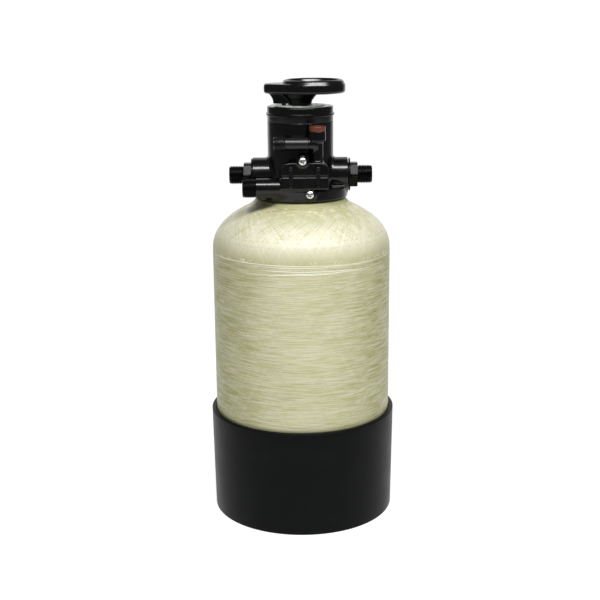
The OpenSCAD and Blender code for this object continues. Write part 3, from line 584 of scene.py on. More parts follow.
class TankLook(bpy.types.PropertyGroup):
    resin: FloatVectorProperty(name="Resin", description="Colour of the resin over the strands",
                               default=(0.475, 0.452, 0.262), **TINT)
    # Also painted shade: colour of the turned-away sides and of the band below the neck
    resin_deep_and_shade: FloatVectorProperty(name="Deep resin and shade", description="Colour where the resin lies thick",
                                    default=(0.262, 0.262, 0.078), **TINT)
    glass: FloatVectorProperty(name="Glass", description="Colour of the glass strands",
                               default=(0.72, 0.708, 0.59), **TINT)
    # Painted shade: colour of the shell and strands close under the valve
    valve_shade: FloatVectorProperty(name="Shade under the valve", description="Colour of the recess under the valve",
                               default=(0.075, 0.068, 0.028), **TINT)
    hoop_pitch: FloatProperty(name="Hoop pitch", description="Distance between hoop strands",
                              min=0.001, max=0.006, default=0.0026, **LENGTH)
    hoop_relief: FloatProperty(name="Hoop relief", description="How far a hoop strand stands out",
                               min=0.0, max=0.0004, default=0.00004, **LENGTH)
    hoop_top: FloatProperty(name="Top of the hoops", description="Height where the hoop layer ends",
                            min=0.25, max=0.33, default=0.311, **LENGTH)
    strands: IntProperty(name="Crossing strands", description="Strands each way over the shoulder",
                         min=8, max=120, default=80)


class BootLook(bpy.types.PropertyGroup):
    colour: FloatVectorProperty(name="Boot", description="Colour of the boot",
                                default=(0.0028, 0.0031, 0.0034), **TINT)
    rim: FloatProperty(name="Rim rounding", description="Radius of the rim's edges",
                       min=0.0002, max=0.002, default=0.0012, **LENGTH)


class ValveLook(bpy.types.PropertyGroup):
    colour: FloatVectorProperty(name="Valve", description="Colour of the valve's plastic",
                                default=(0.0015, 0.0014, 0.0016), **TINT)
    cap: FloatVectorProperty(name="Column cap", description="Colour of the cap on the column",
                             default=(0.100, 0.026, 0.015), **TINT)
    plate: FloatVectorProperty(name="Plate", description="Colour of the position plate",
                               default=(0.50, 0.57, 0.50), **TINT)
    cell: FloatProperty(name="Grid cell", description="Grid on which moulded forms are worked out",
                        min=0.0004, max=0.002, default=0.0007, **LENGTH)


class StageLook(bpy.types.PropertyGroup):
    key: FloatProperty(name="Key light", description="Power of the light above the camera",
                       unit="POWER", min=0, max=200, default=90.0)
    room: FloatProperty(name="Room", description="Brightness of the surrounding room",
                        min=0, max=1, default=0.13)
    floor: FloatVectorProperty(name="Floor", description="Colour of the floor",
                               default=(0.82, 0.82, 0.82), **TINT)


# Plain finishes: name, colour, rubbed colour, roughness, unevenness, patches and grains per metre
PLAIN = {
    "ink": ("plate ink", (0.02, 0.02, 0.02), (0.04, 0.04, 0.04), 0.45, 0.1, 200, 4000),
    "rubber": ("seal rubber", (0.012, 0.012, 0.012), (0.03, 0.03, 0.03), 0.62, 0.12, 120, 3000),
    "liner": ("liner plastic", (0.72, 0.72, 0.64), (0.78, 0.78, 0.7), 0.45, 0.1, 40, 1500),
    "pipe": ("pipe plastic", (0.74, 0.74, 0.71), (0.8, 0.8, 0.78), 0.38, 0.1, 50, 2000),
    "basket": ("basket plastic", (0.045, 0.05, 0.06), (0.08, 0.085, 0.095), 0.45, 0.12, 70, 2500),
    "ceramic": ("disc ceramic", (0.78, 0.76, 0.71), (0.84, 0.82, 0.78), 0.16, 0.06, 60, 6000),
    "washer": ("washer plastic", (0.84, 0.84, 0.8), (0.88, 0.88, 0.85), 0.35, 0.08, 90, 2500),
    "ivory": ("injector plastic", (0.74, 0.64, 0.40), (0.8, 0.72, 0.5), 0.35, 0.1, 120, 3000),
    "screen": ("strainer plastic", (0.6, 0.63, 0.66), (0.7, 0.72, 0.74), 0.45, 0.1, 150, 3500),
}
# Solids that keep their CAD shape, by finish
INNER = {
    "rubber": ("neck_o_ring", "riser_o_ring", "cap_o_ring", "disc_seal", "inlet_gasket", "outlet_gasket",
               "drain_flow_control", "injector_gasket", "column_cap_o_ring", "brine_o_ring",
               "brine_flow_control", "stem_o_rings"),
    "liner": ("tank_liner",),
    "pipe": ("riser_tube",),
    "basket": ("bottom_distributor", "top_distributor"),
    "resin": ("resin_bed",),
    "gravel": ("gravel_bed",),
    "ceramic": ("fixed_disc", "moving_disc"),
    "washer": ("friction_washer",),
    "ivory": ("injector_nozzle", "injector_throat"),
    "screen": ("brine_strainer",),
    "brass": ("valve_stem",),
}


class SOFTENER_OT_finishes(bpy.types.Operator):
    """Makes the shared effects and finishes, and gives the inner solids theirs"""
    bl_idname = "softener.finishes"
    bl_label = "Finishes"

    def execute(self, context):
        for effect in (moulding_group, strand_group, hoop_group, recess_group):
            effect()
        self.plastics(context.scene.softener_boot, context.scene.softener_valve)
        self.metals_and_beds()
        self.windings(context.scene.softener_tank)
        for kind, values in PLAIN.items():
            FINISH[kind] = finish(*values)
        for kind, nodes in INNER.items():
            for node in nodes:
                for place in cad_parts[node].material_slots:
                    place.material = FINISH[kind]
        return {"FINISHED"}

    def plastics(self, boot, valve):
        """The boot's plastic, the valve's blacks, the column cap's red-brown and the plate's film."""
        base, black, cap, film = [Vector(c) for c in (boot.colour, valve.colour, valve.cap, valve.plate)]
        FINISH["boot"] = finish("boot plastic", base, base * 1.6, 0.38, 0.1, 35, 1800, 0.00006,
                                specular=0.3, ior=1.22)
        FINISH["valve"] = finish("valve plastic", black, black * 1.7, 0.2, 0.08, 70, 2600, 0.00003,
                                 specular=0.42)
        FINISH["handle"] = finish("handle plastic", black, black * 2.0, 0.22, 0.1, 60, 2200, 0.00003,
                                  specular=0.45)
        FINISH["nipple"] = finish("nipple plastic", black * 1.3, black * 2.4, 0.3, 0.1, 80, 3000,
                                  specular=0.12)
        FINISH["tube"] = finish("tube plastic", black * 1.3, black * 2.4, 0.36, 0.1, 80, 3000, specular=0.5)
        FINISH["clip"] = finish("clip plastic", black, black * 2.0, 0.25, 0.1, 90, 3000, specular=0.45)
        FINISH["cap"] = finish("cap plastic", cap, cap * 1.35, 0.3, 0.12, 120, 3000)
        FINISH["plate"] = finish("plate film", film, film * 1.12, 0.3, 0.1, 120, 4000)

    def metals_and_beds(self):
        """Screw steel with painted shade in its recesses, the stem's brass, and the beds in the tank."""
        steel = finish("screw steel", (0.86, 0.86, 0.86), (0.92, 0.92, 0.92), 0.28, 0.2, 300, 5000,
                       metallic=1.0)
        # Painted shade: the cross recesses of the screw heads darkened nearly to black
        FINISH["steel"] = recessed(steel, 0.002, (0.02, 0.018, 0.016))
        FINISH["brass"] = finish("stem brass", (0.62, 0.42, 0.16), (0.7, 0.52, 0.24), 0.3, 0.16, 90, 4000,
                                 metallic=1.0)
        FINISH["resin"] = bead_finish("softening resin", (0.58, 0.26, 0.04), (0.74, 0.40, 0.09), 0.0009, 0.3)
        FINISH["gravel"] = bead_finish("gravel", (0.26, 0.21, 0.16), (0.44, 0.38, 0.31), 0.004, 0.6)

    def windings(self, tank):
        """The wound shell, bare glass, and strands darkened by painted shade under the valve."""
        bare = Vector(tank.glass)
        FINISH["wound"] = wound_finish("wound glass", tank)
        FINISH["glass"] = finish("bare glass", bare, bare * 1.15, 0.25, 0.2, 90, 1500, specular=0.6)
        strand = finish("glass strand", tank.resin, tank.glass, 0.3, 0.2, 90, 1500, specular=0.5)
        # Painted shade: the strands close under the valve take the valve shade colour
        FINISH["strand"] = recessed(strand, 0.014, tank.valve_shade)


# Tank section, in millimetres
DOME_RISE, BASE_RISE, BASE_LIFT = 56.8, 50.0, 9.0
NECK_R, NECK_IN, NECK_FLARE, FLARE_REACH = 50.0, 44.0, 7.4, 4.0
SHELL_WALL, NECK_EDGE = 3.3, 0.4
BASE_Z = BASE_LIFT + BASE_RISE
SPRING_Z = NECK_TOP - NECK_FLARE - DOME_RISE * math.sqrt(1 - (NECK_R / TANK_R) ** 2)
# Rows and steps of the wound shell, in millimetres where they are heights
TANK_STEPS, LOW_ROWS, SHOULDER_ROWS, INNER_ROWS, ROWS_PER_HOOP = 224, 14, 60, 14, 4
BARE_HEIGHTS, HOOP_BASE = (70, 82, 94, 104), 108.0
# How far the hoop layer stands out, and the radii where the pattern and the single strands turn back
HOOP_STEP, PATTERN_TURN, STRAND_TURN, TURN_SPREAD = 0.22, 51.0, 53.5, 9.0
# Stray hoops at the top edge: first angle, last angle, drop below the edge, width
STRAY_HOOPS = (
    (-178, -28, 0.5, 0.9), (-150, 60, 1.9, 0.7), (-122, -52, 6.6, 1.2), (-108, -38, 8.3, 1.0),
    (-128, -62, 10.7, 1.1), (-20, 150, 3.4, 0.9), (40, 200, 7.2, 0.8),
)
STRAY_POINTS, STRAY_TAPER = 120, 25


def shoulder(r):
    """Height of the wound shoulder at a radius."""
    dome = SPRING_Z + DOME_RISE * np.sqrt(np.maximum(0, 1 - (r / TANK_R) ** 2))
    return dome + NECK_FLARE * np.exp(-(r - NECK_R) / FLARE_REACH)


def wound_angle(rows, turn_r):
    """Angle that a strand has gone round, in turns, at each row (r, z), from its steepest point down."""
    angle, out = 0.0, [0.0]
    for (r0, z0), (r1, z1) in zip(rows[:-1], rows[1:]):
        r = max((r0 + r1) / 2, turn_r + 0.25)
        angle += math.hypot(r1 - r0, z1 - z0) * turn_r / (r * math.sqrt(r * r - turn_r * turn_r))
        out.append(angle / (2 * math.pi))
    return np.array(out)


def ribbon(c, n, width, height):
    """A flat strand of lens section along centres with normals, half sunk in the surface under it."""
    along = np.gradient(c, axis=0)
    along /= np.linalg.norm(along, axis=1)[:, None]
    side = np.cross(along, n)
    w = np.broadcast_to(np.asarray(width, float), len(c))[:, None] / 2
    h = np.broadcast_to(np.asarray(height, float), len(c))[:, None]
    rings = np.stack([c + side * w - n * 0.12, c + side * w * 0.45 + n * h * 0.8, c + n * h,
                      c - side * w * 0.45 + n * h * 0.8, c - side * w - n * 0.12, c - n * 0.5], 1)
    count, sides = rings.shape[:2]
    quads = grid_quads(count, sides, False)[:, [0, 3, 2, 1]].tolist()
    quads.append(list(range(sides)))
    quads.append(list(range((count - 1) * sides, count * sides))[::-1])
    return rings.reshape(-1, 3), quads


def joined(parts):
    """Points and faces of many parts as one."""
    starts = np.cumsum([0] + [len(points) for points, _ in parts]).tolist()
    faces = [[start + v for v in face] for start, (_, part) in zip(starts, parts) for face in part]
    return np.concatenate([points for points, _ in parts]), faces


class SOFTENER_OT_tank(bpy.types.Operator):
    """Winds the tank: hoops round the barrel and crossing strands over the shoulder"""
    bl_idname = "softener.tank"
    bl_label = "Wound tank"

    def execute(self, context):
        look = context.scene.softener_tank
        hoop_top = look.hoop_top / MM
        self.shell(hoop_top, look.hoop_pitch / MM, look.hoop_relief / MM)
        self.strands(look.strands, hoop_top)
        self.strays(hoop_top)
        return {"FINISHED"}

    def rows(self, hoop_top, pitch):
        """Rows (r, z) of the shell: under the hoops, the hoops, the shoulder, and the neck and inside."""
        down = [math.radians(90 - 90 * k / LOW_ROWS) for k in range(LOW_ROWS + 1)]
        low = [(TANK_R * math.cos(a), BASE_Z - BASE_RISE * math.sin(a)) for a in down]
        low[0] = (POLE_R, BASE_LIFT)
        low += [(TANK_R, z) for z in BARE_HEIGHTS]
        count = int((hoop_top - HOOP_BASE) / pitch * ROWS_PER_HOOP)
        hoops = [(TANK_R, HOOP_BASE + (SPRING_Z - HOOP_BASE) * k / count) for k in range(count + 1)]
        up = np.radians(np.linspace(1.5, math.degrees(math.acos(NECK_R / TANK_R)), SHOULDER_ROWS))
        top = [(TANK_R * math.cos(a), shoulder(TANK_R * math.cos(a))) for a in up]
        inner = [(NECK_R - NECK_EDGE, NECK_TOP), (NECK_IN, NECK_TOP)]
        bore = TANK_R - SHELL_WALL
        back = np.radians(np.linspace(math.degrees(math.acos(NECK_IN / bore)), 0, INNER_ROWS))
        inner += [(bore * math.cos(a), SPRING_Z + (DOME_RISE - SHELL_WALL) * math.sin(a)) for a in back]
        inner += [(bore * math.cos(a), BASE_Z - (BASE_RISE - SHELL_WALL) * math.sin(a)) for a in down[::-1]]
        inner[-1] = (POLE_R, BASE_LIFT + SHELL_WALL)
        return low, hoops, top, inner

    def shell(self, hoop_top, pitch, relief):
        """The shell, with uneven hoops that end at a soft step, and the winding's phases as its UV map."""
        low, hoops, top, inner = self.rows(hoop_top, pitch)
        section = np.array(low + hoops + top + inner)
        theta = np.arange(TANK_STEPS) * 2 * np.pi / TANK_STEPS
        r = np.repeat(section[:, :1], TANK_STEPS, 1)
        z = np.repeat(section[:, 1:], TANK_STEPS, 1)
        sway = 0.9 * np.sin(theta + 0.7) + 0.5 * np.sin(2 * theta + 2.1) + 0.35 * np.sin(3 * theta)
        phase = (z + sway * 0.6) / pitch
        bands = rng.uniform(0.35, 1.0, int(phase.max()) + 3)
        size = bands[np.clip(np.floor(phase).astype(int), 0, len(bands) - 1)]
        wave = relief * size * np.cos((phase - np.floor(phase) - 0.5) * 2 * np.pi)
        step = HOOP_STEP / (1 + np.exp((z - hoop_top + 0.2 + 0.2 * sway) * 4))
        hooped = slice(len(low), len(low) + len(hoops))
        r[hooped] += (wave + step)[hooped]
        points = np.stack([r * np.cos(theta), r * np.sin(theta), z], -1).reshape(-1, 3)
        outer = section[:len(section) - len(inner)]
        angle = np.zeros(len(section))
        angle[:len(outer)] = wound_angle(outer[::-1], PATTERN_TURN)[::-1]
        i, j = np.meshgrid(np.arange(len(section) - 1), np.arange(TANK_STEPS), indexing="ij")
        u0, u1 = j / TANK_STEPS, (j + 1) / TANK_STEPS
        corners = ((u0, i), (u1, i), (u1, i + 1), (u0, i + 1))
        uv = np.stack([np.stack([u + angle[row], u - angle[row]], -1) for u, row in corners], 2)
        quads = grid_quads(len(section), TANK_STEPS, False)
        mesh_piece("wound_tank", points, quads, FINISH["wound"], ROOT, ["tank_shell"], "wound_glass_fibre",
                   uv=uv)

    def strands(self, count, hoop_top):
        """Crossing strands that stand proud on the shoulder and run under the hoops."""
        parts = []
        down = np.linspace(SPRING_Z, hoop_top - 6.0, 4)[1:]
        sunk = np.stack([TANK_R - np.array((0.0, 0.3, 0.6)), down], 1)
        for way in (1, -1):
            for k in range(count):
                turn_r = STRAND_TURN + TURN_SPREAD * rng.random() ** 2
                half = turn_r + 0.02 + (TANK_R - turn_r - 0.02) * np.linspace(0, 1, 26) ** 1.8
                rows = np.concatenate([np.stack([half, shoulder(half)], 1), sunk])
                angle = wound_angle(rows, turn_r) * 2 * np.pi
                start = 2 * np.pi * (k + 0.7 * rng.random()) / count
                r, z = np.concatenate([rows[::-1], rows[1:]]).T
                a = start + way * np.concatenate([-angle[::-1], angle[1:]])
                rise = np.where(z < SPRING_Z + 0.01, 0, (z - SPRING_Z) / DOME_RISE ** 2)
                n = np.stack([r / TANK_R ** 2 * np.cos(a), r / TANK_R ** 2 * np.sin(a), rise], 1)
                n /= np.linalg.norm(n, axis=1)[:, None]
                c = np.stack([r * np.cos(a), r * np.sin(a), z], 1)
                parts.append(ribbon(c, n, rng.uniform(0.5, 1.5), rng.uniform(0.03, 0.09)))
        mesh_piece("tank_strands", *joined(parts), FINISH["strand"], ROOT, ["tank_shell"],
                   "wound_glass_fibre")

    def strays(self, hoop_top):
        """Stray hoops that stand proud at the top edge, thin at their ends."""
        parts = []
        from_end = np.minimum(np.arange(STRAY_POINTS), np.arange(STRAY_POINTS)[::-1])
        taper = np.clip(from_end / STRAY_TAPER, 0.15, 1)
        for first, last, drop, width in STRAY_HOOPS:
            turn = np.radians(np.linspace(first, last, STRAY_POINTS))
            n = np.stack([np.cos(turn), np.sin(turn), 0 * turn], 1)
            c = n * (TANK_R + 0.2)
            c[:, 2] = hoop_top - drop + 0.7 * np.sin(2.3 * turn + drop)
            parts.append(ribbon(c, n, width * taper, 0.22 * taper - 0.04))
        mesh_piece("stray_hoops", *joined(parts), FINISH["glass"], ROOT, ["tank_shell"], "wound_glass_fibre")


# Boot, in millimetres
FOOT_R, FOOT_RING, FOOT_LIFT = 105.3, 16.0, 2.5
BEND_R, BEND_Z, BOOT_BORE, BOOT_FLOOR, CURVE_Z = 106.06, 46.0, 102.0, 5.0, 27.0
SEAT_IN, SEAT_OUT, SEAT_GAP = 60.0, 64.0, 0.3
BOOT_STEPS, BOOT_ROW = 192, 12.0
RIB_BARS, RIB_REACH, RIB_HALF, RIB_LOW, RIB_TOP, RIB_HOLE = 4, 90.0, 1.5, 0.25, 3.0, 14.0


def rib_field(x, y, z):
    """Distance to the ribs under the boot, which run out from a clear middle."""
    d = None
    for k in range(RIB_BARS):
        c, s = math.cos(math.pi * k / RIB_BARS), math.sin(math.pi * k / RIB_BARS)
        p = (c * x + s * y, c * y - s * x, z + NECK_TOP)
        bar = block(p, (-RIB_REACH, -RIB_HALF, RIB_LOW), (RIB_REACH, RIB_HALF, RIB_TOP), 0.3)
        d = bar if d is None else np.minimum(d, bar)
    return soft_max(d, RIB_HOLE - np.hypot(x, y), 0.4)


class SOFTENER_OT_boot(bpy.types.Operator):
    """Turns the boot with its rounded rim and seat, and ribs its underside"""
    bl_idname = "softener.boot"
    bl_label = "Boot"

    def execute(self, context):
        rim = context.scene.softener_boot.rim / MM
        box_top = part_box("tank_boot")[1]
        out, top = box_top.x / MM, box_top.z / MM
        ring = FOOT_R - FOOT_RING
        seat = BASE_Z - BASE_RISE * math.sqrt(1 - (SEAT_IN / TANK_R) ** 2) - SEAT_GAP
        section = rounded([
            (POLE_R, FOOT_LIFT, 0), (ring, FOOT_LIFT, 0.6), (ring, 0, 0.6), (FOOT_R, 0, 1.8),
            (BEND_R, BEND_Z, 30), (out, top, rim), (BOOT_BORE, top, rim), (BOOT_BORE, BEND_Z, 4),
            (FOOT_R - 4.2, CURVE_Z, 5), (FOOT_R - 12.2, BOOT_FLOOR, 3), (SEAT_OUT, BOOT_FLOOR, 1),
            (SEAT_OUT, seat, 0.8), (SEAT_IN, seat, 0.8), (SEAT_IN, BOOT_FLOOR, 1), (POLE_R, BOOT_FLOOR, 0),
        ], arc=6)
        rows = []
        for a, b in zip(section[:-1], section[1:]):
            pieces = max(1, int(np.hypot(*(b - a)) / BOOT_ROW))
            rows += [a + (b - a) * k / pieces for k in range(pieces)]
        rows.append(section[-1])
        turned("boot", rows, BOOT_STEPS, False, Matrix.Identity(4), "boot", "tank_boot", "boot_plastic", 50)
        side = RIB_REACH + 2
        moulded("boot_ribs", rib_field, (-side, -side, -NECK_TOP - 1), (side, side, RIB_TOP + 1 - NECK_TOP),
                0.8, 0.3, "boot", ROOT, "tank_boot", "boot_plastic")
        return {"FINISHED"}


# Valve, in millimetres above the neck
COLLAR_R, COLLAR_H, BARREL_R, SEAM, CAP_TOP = 53.0, 12.5, 37.1, 84.7, 101.6
SPIGOT_R, SPIGOT_END, SKIRT_R, SKIRT_TOP = 36.2, -25.0, 34.0, 94.1
PORT_H, PORT_R, PORT_REACH, GASKET_T, PORT_THREAD = 24.0, 19.6, 53.2, 1.1, 18.0
DRAIN_Y, DRAIN_H, DRAIN_R, DRAIN_END, DRAIN_IN = -42.4, 14.8, 11.2, -49.3, 2.0
HOUSING_X, HOUSING_HALF, HOUSING_FRONT, HOUSING_BACK = 4.5, 25.8, -55.8, -37.8
LEDGE_BASE, LEDGE_TOP, HOUSING_BASE, HOUSING_TOP = 14.5, 28.5, 29.5, 44.1
COLUMN_X, COLUMN_Y, CUP_BASE, CUP_TOP = 18.5, -46.8, 67.5, 77.5
BRINE_H, BRINE_R = 63.5, 7.1
CLIP_X, CLIP_BASE, CLIP_TOP, CLIP_HALF, CLIP_OUT = (-10.8, 19.2), 17.0, 39.5, 2.2, 2.6
# Screws: x, height, and the y that their heads sit on
UPPER_SCREW, LOWER_SCREW = (2.2, 45.9, -56.1), (10.0, 8.8, -53.4)
# Middles of the bores across their axes
MIDDLE, PORTS, DRAIN, COLUMN = (0, 0), (0, PORT_H), (DRAIN_Y, DRAIN_H), (COLUMN_X, COLUMN_Y)
BRINE = (COLUMN_Y, BRINE_H)
# Pipe threads: radius, pitch, depth
HALF_INCH, THREE_EIGHTHS = (10.4775, 1.814, 1.16), (8.331, 1.337, 0.856)
# Bores of the body: axis, middle, radius, radius of a core left standing, start, end, edge
BODY_BORES = (
    (2, MIDDLE, 31, 18, -26, 6.5, 0.4),
    (2, MIDDLE, 13.6, 0, -26, 20.5, 0.4),
    (2, MIDDLE, 7, 0, 20, 60, 0.2),
    (2, MIDDLE, 32, 0, 58.5, 100, 0.3),
    (0, PORTS, 8, 0, 15.5, 60, 0.2),
    (0, PORTS, 10.6, 0, PORT_REACH - PORT_THREAD, 60, 0.3),
    (0, PORTS, 8, 0, -60, -20, 0.2),
    (0, PORTS, 10.6, 0, -60, PORT_THREAD - PORT_REACH, 0.3),
    (0, PORTS, 13.2, 0, -60, -PORT_REACH, 0.2),
    (0, DRAIN, 6, 0, -70, 0, 0.2),
    (0, DRAIN, 7.4, 0, -70, -46, 0.2),
    (2, MIDDLE, 41.7, 38.3, -5, 2.9, 0.2),
    (1, UPPER_SCREW, 2.1, 0, -60, -25, 0.1),
    (1, LOWER_SCREW, 2.1, 0, -60, -38, 0.1),
)
# Bores of the housing: axis, middle, radius, start, end, edge
HOUSING_BORES = (
    (2, COLUMN, 4, HOUSING_BASE + 2, 80, 0.2),
    (2, COLUMN, 7, 70, 90, 0.2),
    (0, BRINE, 4.9, 0, 13.5, 0.2),
    (1, UPPER_SCREW, 2.3, -70, -30, 0.1),
)


def notched(d, p, lo, hi):
    """The form with room for the clips' hooks between two heights."""
    for cx in CLIP_X:
        room = block(p, (cx - 2.5, HOUSING_FRONT - 4, lo), (cx + 2.5, HOUSING_FRONT + 3.4, hi), 0.2)
        d = np.maximum(d, -room)
    return d


def body_field(x, y, z):
    """Distance to the moulded valve body."""
    p = (x, y, z)
    collar = rod(p, 2, MIDDLE, COLLAR_R, 0, COLLAR_H, 1.3)
    d = soft_min(collar, rod(p, 2, MIDDLE, BARREL_R, 1, SEAM, 0.5), 5)
    d = np.minimum(d, rod(p, 2, MIDDLE, SPIGOT_R, SPIGOT_END, 3, 0.8))
    d = np.minimum(d, rod(p, 2, MIDDLE, SKIRT_R, 60, SKIRT_TOP, 0.5))
    d = soft_min(d, rod(p, 0, PORTS, PORT_R, -PORT_REACH - GASKET_T, PORT_REACH, 1.0), 3.5)
    drain = rod(p, 0, DRAIN, DRAIN_R, DRAIN_END, DRAIN_IN, 0.5)
    knuckle = np.sqrt((x - 0.5) ** 2 + np.hypot(y - DRAIN_Y, z - DRAIN_H) ** 2) - DRAIN_R
    d = soft_min(d, soft_min(drain, knuckle, 1.0), 6)
    ledge = block(p, (HOUSING_X - HOUSING_HALF, HOUSING_FRONT, LEDGE_BASE),
                  (HOUSING_X + HOUSING_HALF, -20, LEDGE_TOP), 1.6)
    d = soft_min(d, ledge, 2.5)
    d = soft_min(d, rod(p, 1, UPPER_SCREW, 6, HOUSING_BACK + 0.1, -20, 0.4), 2)
    d = soft_min(d, rod(p, 1, LOWER_SCREW, 6.4, LOWER_SCREW[2], -30, 0.8), 2.5)
    for axis, at, r, core, lo, hi, e in BODY_BORES:
        cut = rod(p, axis, at, r, lo, hi, e)
        if core:
            cut = np.maximum(cut, core - np.hypot(x, y))
        d = soft_max(d, -cut, 0.5)
    return notched(d, p, CLIP_BASE - 0.3, CLIP_BASE + 3.4)


def housing_field(x, y, z):
    """Distance to the injector housing with its column and cup."""
    p = (x, y, z)
    h = HOUSING_TOP - HOUSING_BASE
    u, v = np.abs(x - HOUSING_X) - HOUSING_HALF, z - HOUSING_BASE - h / 2
    outline = edge(u, np.abs(v) - h / 2, np.where(v > 0, 8.5, 0.8))
    depth = np.abs(y - (HOUSING_FRONT + HOUSING_BACK) / 2) - (HOUSING_BACK - HOUSING_FRONT) / 2
    d = edge(outline, depth, 1.4)
    d = soft_min(d, rod(p, 1, UPPER_SCREW, 6, UPPER_SCREW[2], HOUSING_BACK, 0.7), 2.5)
    d = soft_min(d, rod(p, 2, COLUMN, 6.1, HOUSING_BASE + 4, CUP_TOP - 4, 0.5), 3.5)
    d = soft_min(d, rod(p, 2, COLUMN, 9.1, CUP_BASE, CUP_TOP, 0.6), 3.5)
    d = soft_min(d, rod(p, 0, BRINE, BRINE_R, 8.8, COLUMN_X, 0.5), 2.0)
    for bore in HOUSING_BORES:
        d = soft_max(d, -rod(p, *bore), 0.4)
    return notched(d, p, CLIP_TOP - 3.3, CLIP_TOP + 0.3)


class SOFTENER_OT_body(bpy.types.Operator):
    """Moulds the valve body with its ports, drain and ledge"""
    bl_idname = "softener.body"
    bl_label = "Valve body"

    def execute(self, context):
        cell = context.scene.softener_valve.cell / MM
        moulded("valve_moulding", body_field, (-57, -59, -28), (57, 56, 97), cell, 0.4, "valve", ROOT,
                "valve_body", "valve_plastic")
        r, pitch, depth = HALF_INCH
        bore, start, end, tip = 7.45, 0.4, 15.0, 16.0
        section = [(bore, 0.0), (9.3, 0.0)] + thread_rows(r, start, end, pitch) + [(8.9, tip), (bore, tip)]
        place = axis_place((-1, 0, 0), (DRAIN_END + 1.0, DRAIN_Y, NECK_TOP + DRAIN_H))
        turned("drain_thread", section, 96, True, place, "nipple", "valve_body", "valve_plastic", 60,
               (start, end, pitch, depth, r))
        return {"FINISHED"}


# Cap and plate, in millimetres above the neck
LID_BORE, LID_BASE, LID_IN, LID_SKIRT, LID_ROOF = 10.05, 84.1, 31.9, 34.1, 94.5
BEAD_R, BEAD_BASE, BEAD_TOP, BEAD_SLOPE = 38.4, 91.7, 93.7, 0.5
PLATE_IN, PLATE_OUT, PLATE_T = 14.4, 28.0, 0.6
# Numbers on the plate, in metres
POSITIONS, NUMBER_R, NUMBER_SIZE, NUMBER_DEPTH = 5, 0.0222, 0.0065, 0.00006


class SOFTENER_OT_cap(bpy.types.Operator):
    """Turns the valve's cap with its bead, and prints the position plate"""
    bl_idname = "softener.cap"
    bl_label = "Cap and plate"

    def execute(self, context):
        place = Matrix.Translation((0, 0, NECK_TOP))
        foot = SEAM + 0.05
        lid = rounded([
            (LID_SKIRT, foot, 0), (BARREL_R - 0.1, foot, 0.5), (BARREL_R, BEAD_BASE - BEAD_SLOPE, 0.2),
            (BEAD_R, BEAD_BASE, 0.25), (BEAD_R, BEAD_TOP, 0.25), (BARREL_R, BEAD_TOP + BEAD_SLOPE, 0.2),
            (BARREL_R, CAP_TOP, 1.6), (LID_BORE, CAP_TOP, 0.3), (LID_BORE, LID_BASE, 0.2),
            (LID_IN, LID_BASE, 0.3), (LID_IN, LID_ROOF, 0), (LID_SKIRT, LID_ROOF, 0),
        ], closed=True)
        turned("valve_lid", lid, 144, True, place, "valve", "valve_cap", "valve_plastic", 50)
        face = CAP_TOP + PLATE_T
        plate = rounded([(PLATE_IN, CAP_TOP, 0), (PLATE_OUT, CAP_TOP, 0.1), (PLATE_OUT, face, 0.25),
                         (PLATE_IN, face, 0.25)], closed=True)
        turned("dial_plate", plate, 120, True, place, "plate", "position_plate", "plate_film", 40)
        for k in range(POSITIONS):
            self.number(context, k, (NECK_TOP + CAP_TOP + PLATE_T) * MM)
        return {"FINISHED"}

    def number(self, context, k, top):
        """One printed number, with its top outward."""
        name = f"dial_number_{k + 1}"
        turn = math.radians(180 - 360 / POSITIONS * k)
        text = bpy.data.curves.new(name, "FONT")
        text.body = str(k + 1)
        text.size, text.extrude = NUMBER_SIZE, NUMBER_DEPTH
        text.align_x, text.align_y = "CENTER", "CENTER"
        obj = bpy.data.objects.new(name, text)
        context.scene.collection.objects.link(obj)
        obj.location = (NUMBER_R * math.cos(turn), NUMBER_R * math.sin(turn), top)
        obj.rotation_euler = (0, 0, turn - math.pi / 2)
        context.view_layer.update()
        mesh = bpy.data.meshes.new_from_object(obj)
        mesh.transform(obj.matrix_world)
        mesh.materials.clear()
        mesh.materials.append(FINISH["ink"])
        bpy.data.objects.remove(obj)
        bpy.data.curves.remove(text)
        number = bpy.data.objects.new(name, mesh)
        context.scene.collection.objects.link(number)
        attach(number, ROOT)


# Nipple, in millimetres along it from its flange's face
NIPPLE_BORE, FLANGE_R, FLANGE_T, HEX_HALF, HEX_BASE, HEX_TOP = 7.5, 18.5, 1.6, 13.3, 1.7, 10.0
INNER_THREAD, OUTER_THREAD, NIPPLE_STEPS = (-12.6, -0.4), (10.4, 26.0), 96
HEX_CORNER, HEX_BEVEL = 15.1, 14.3


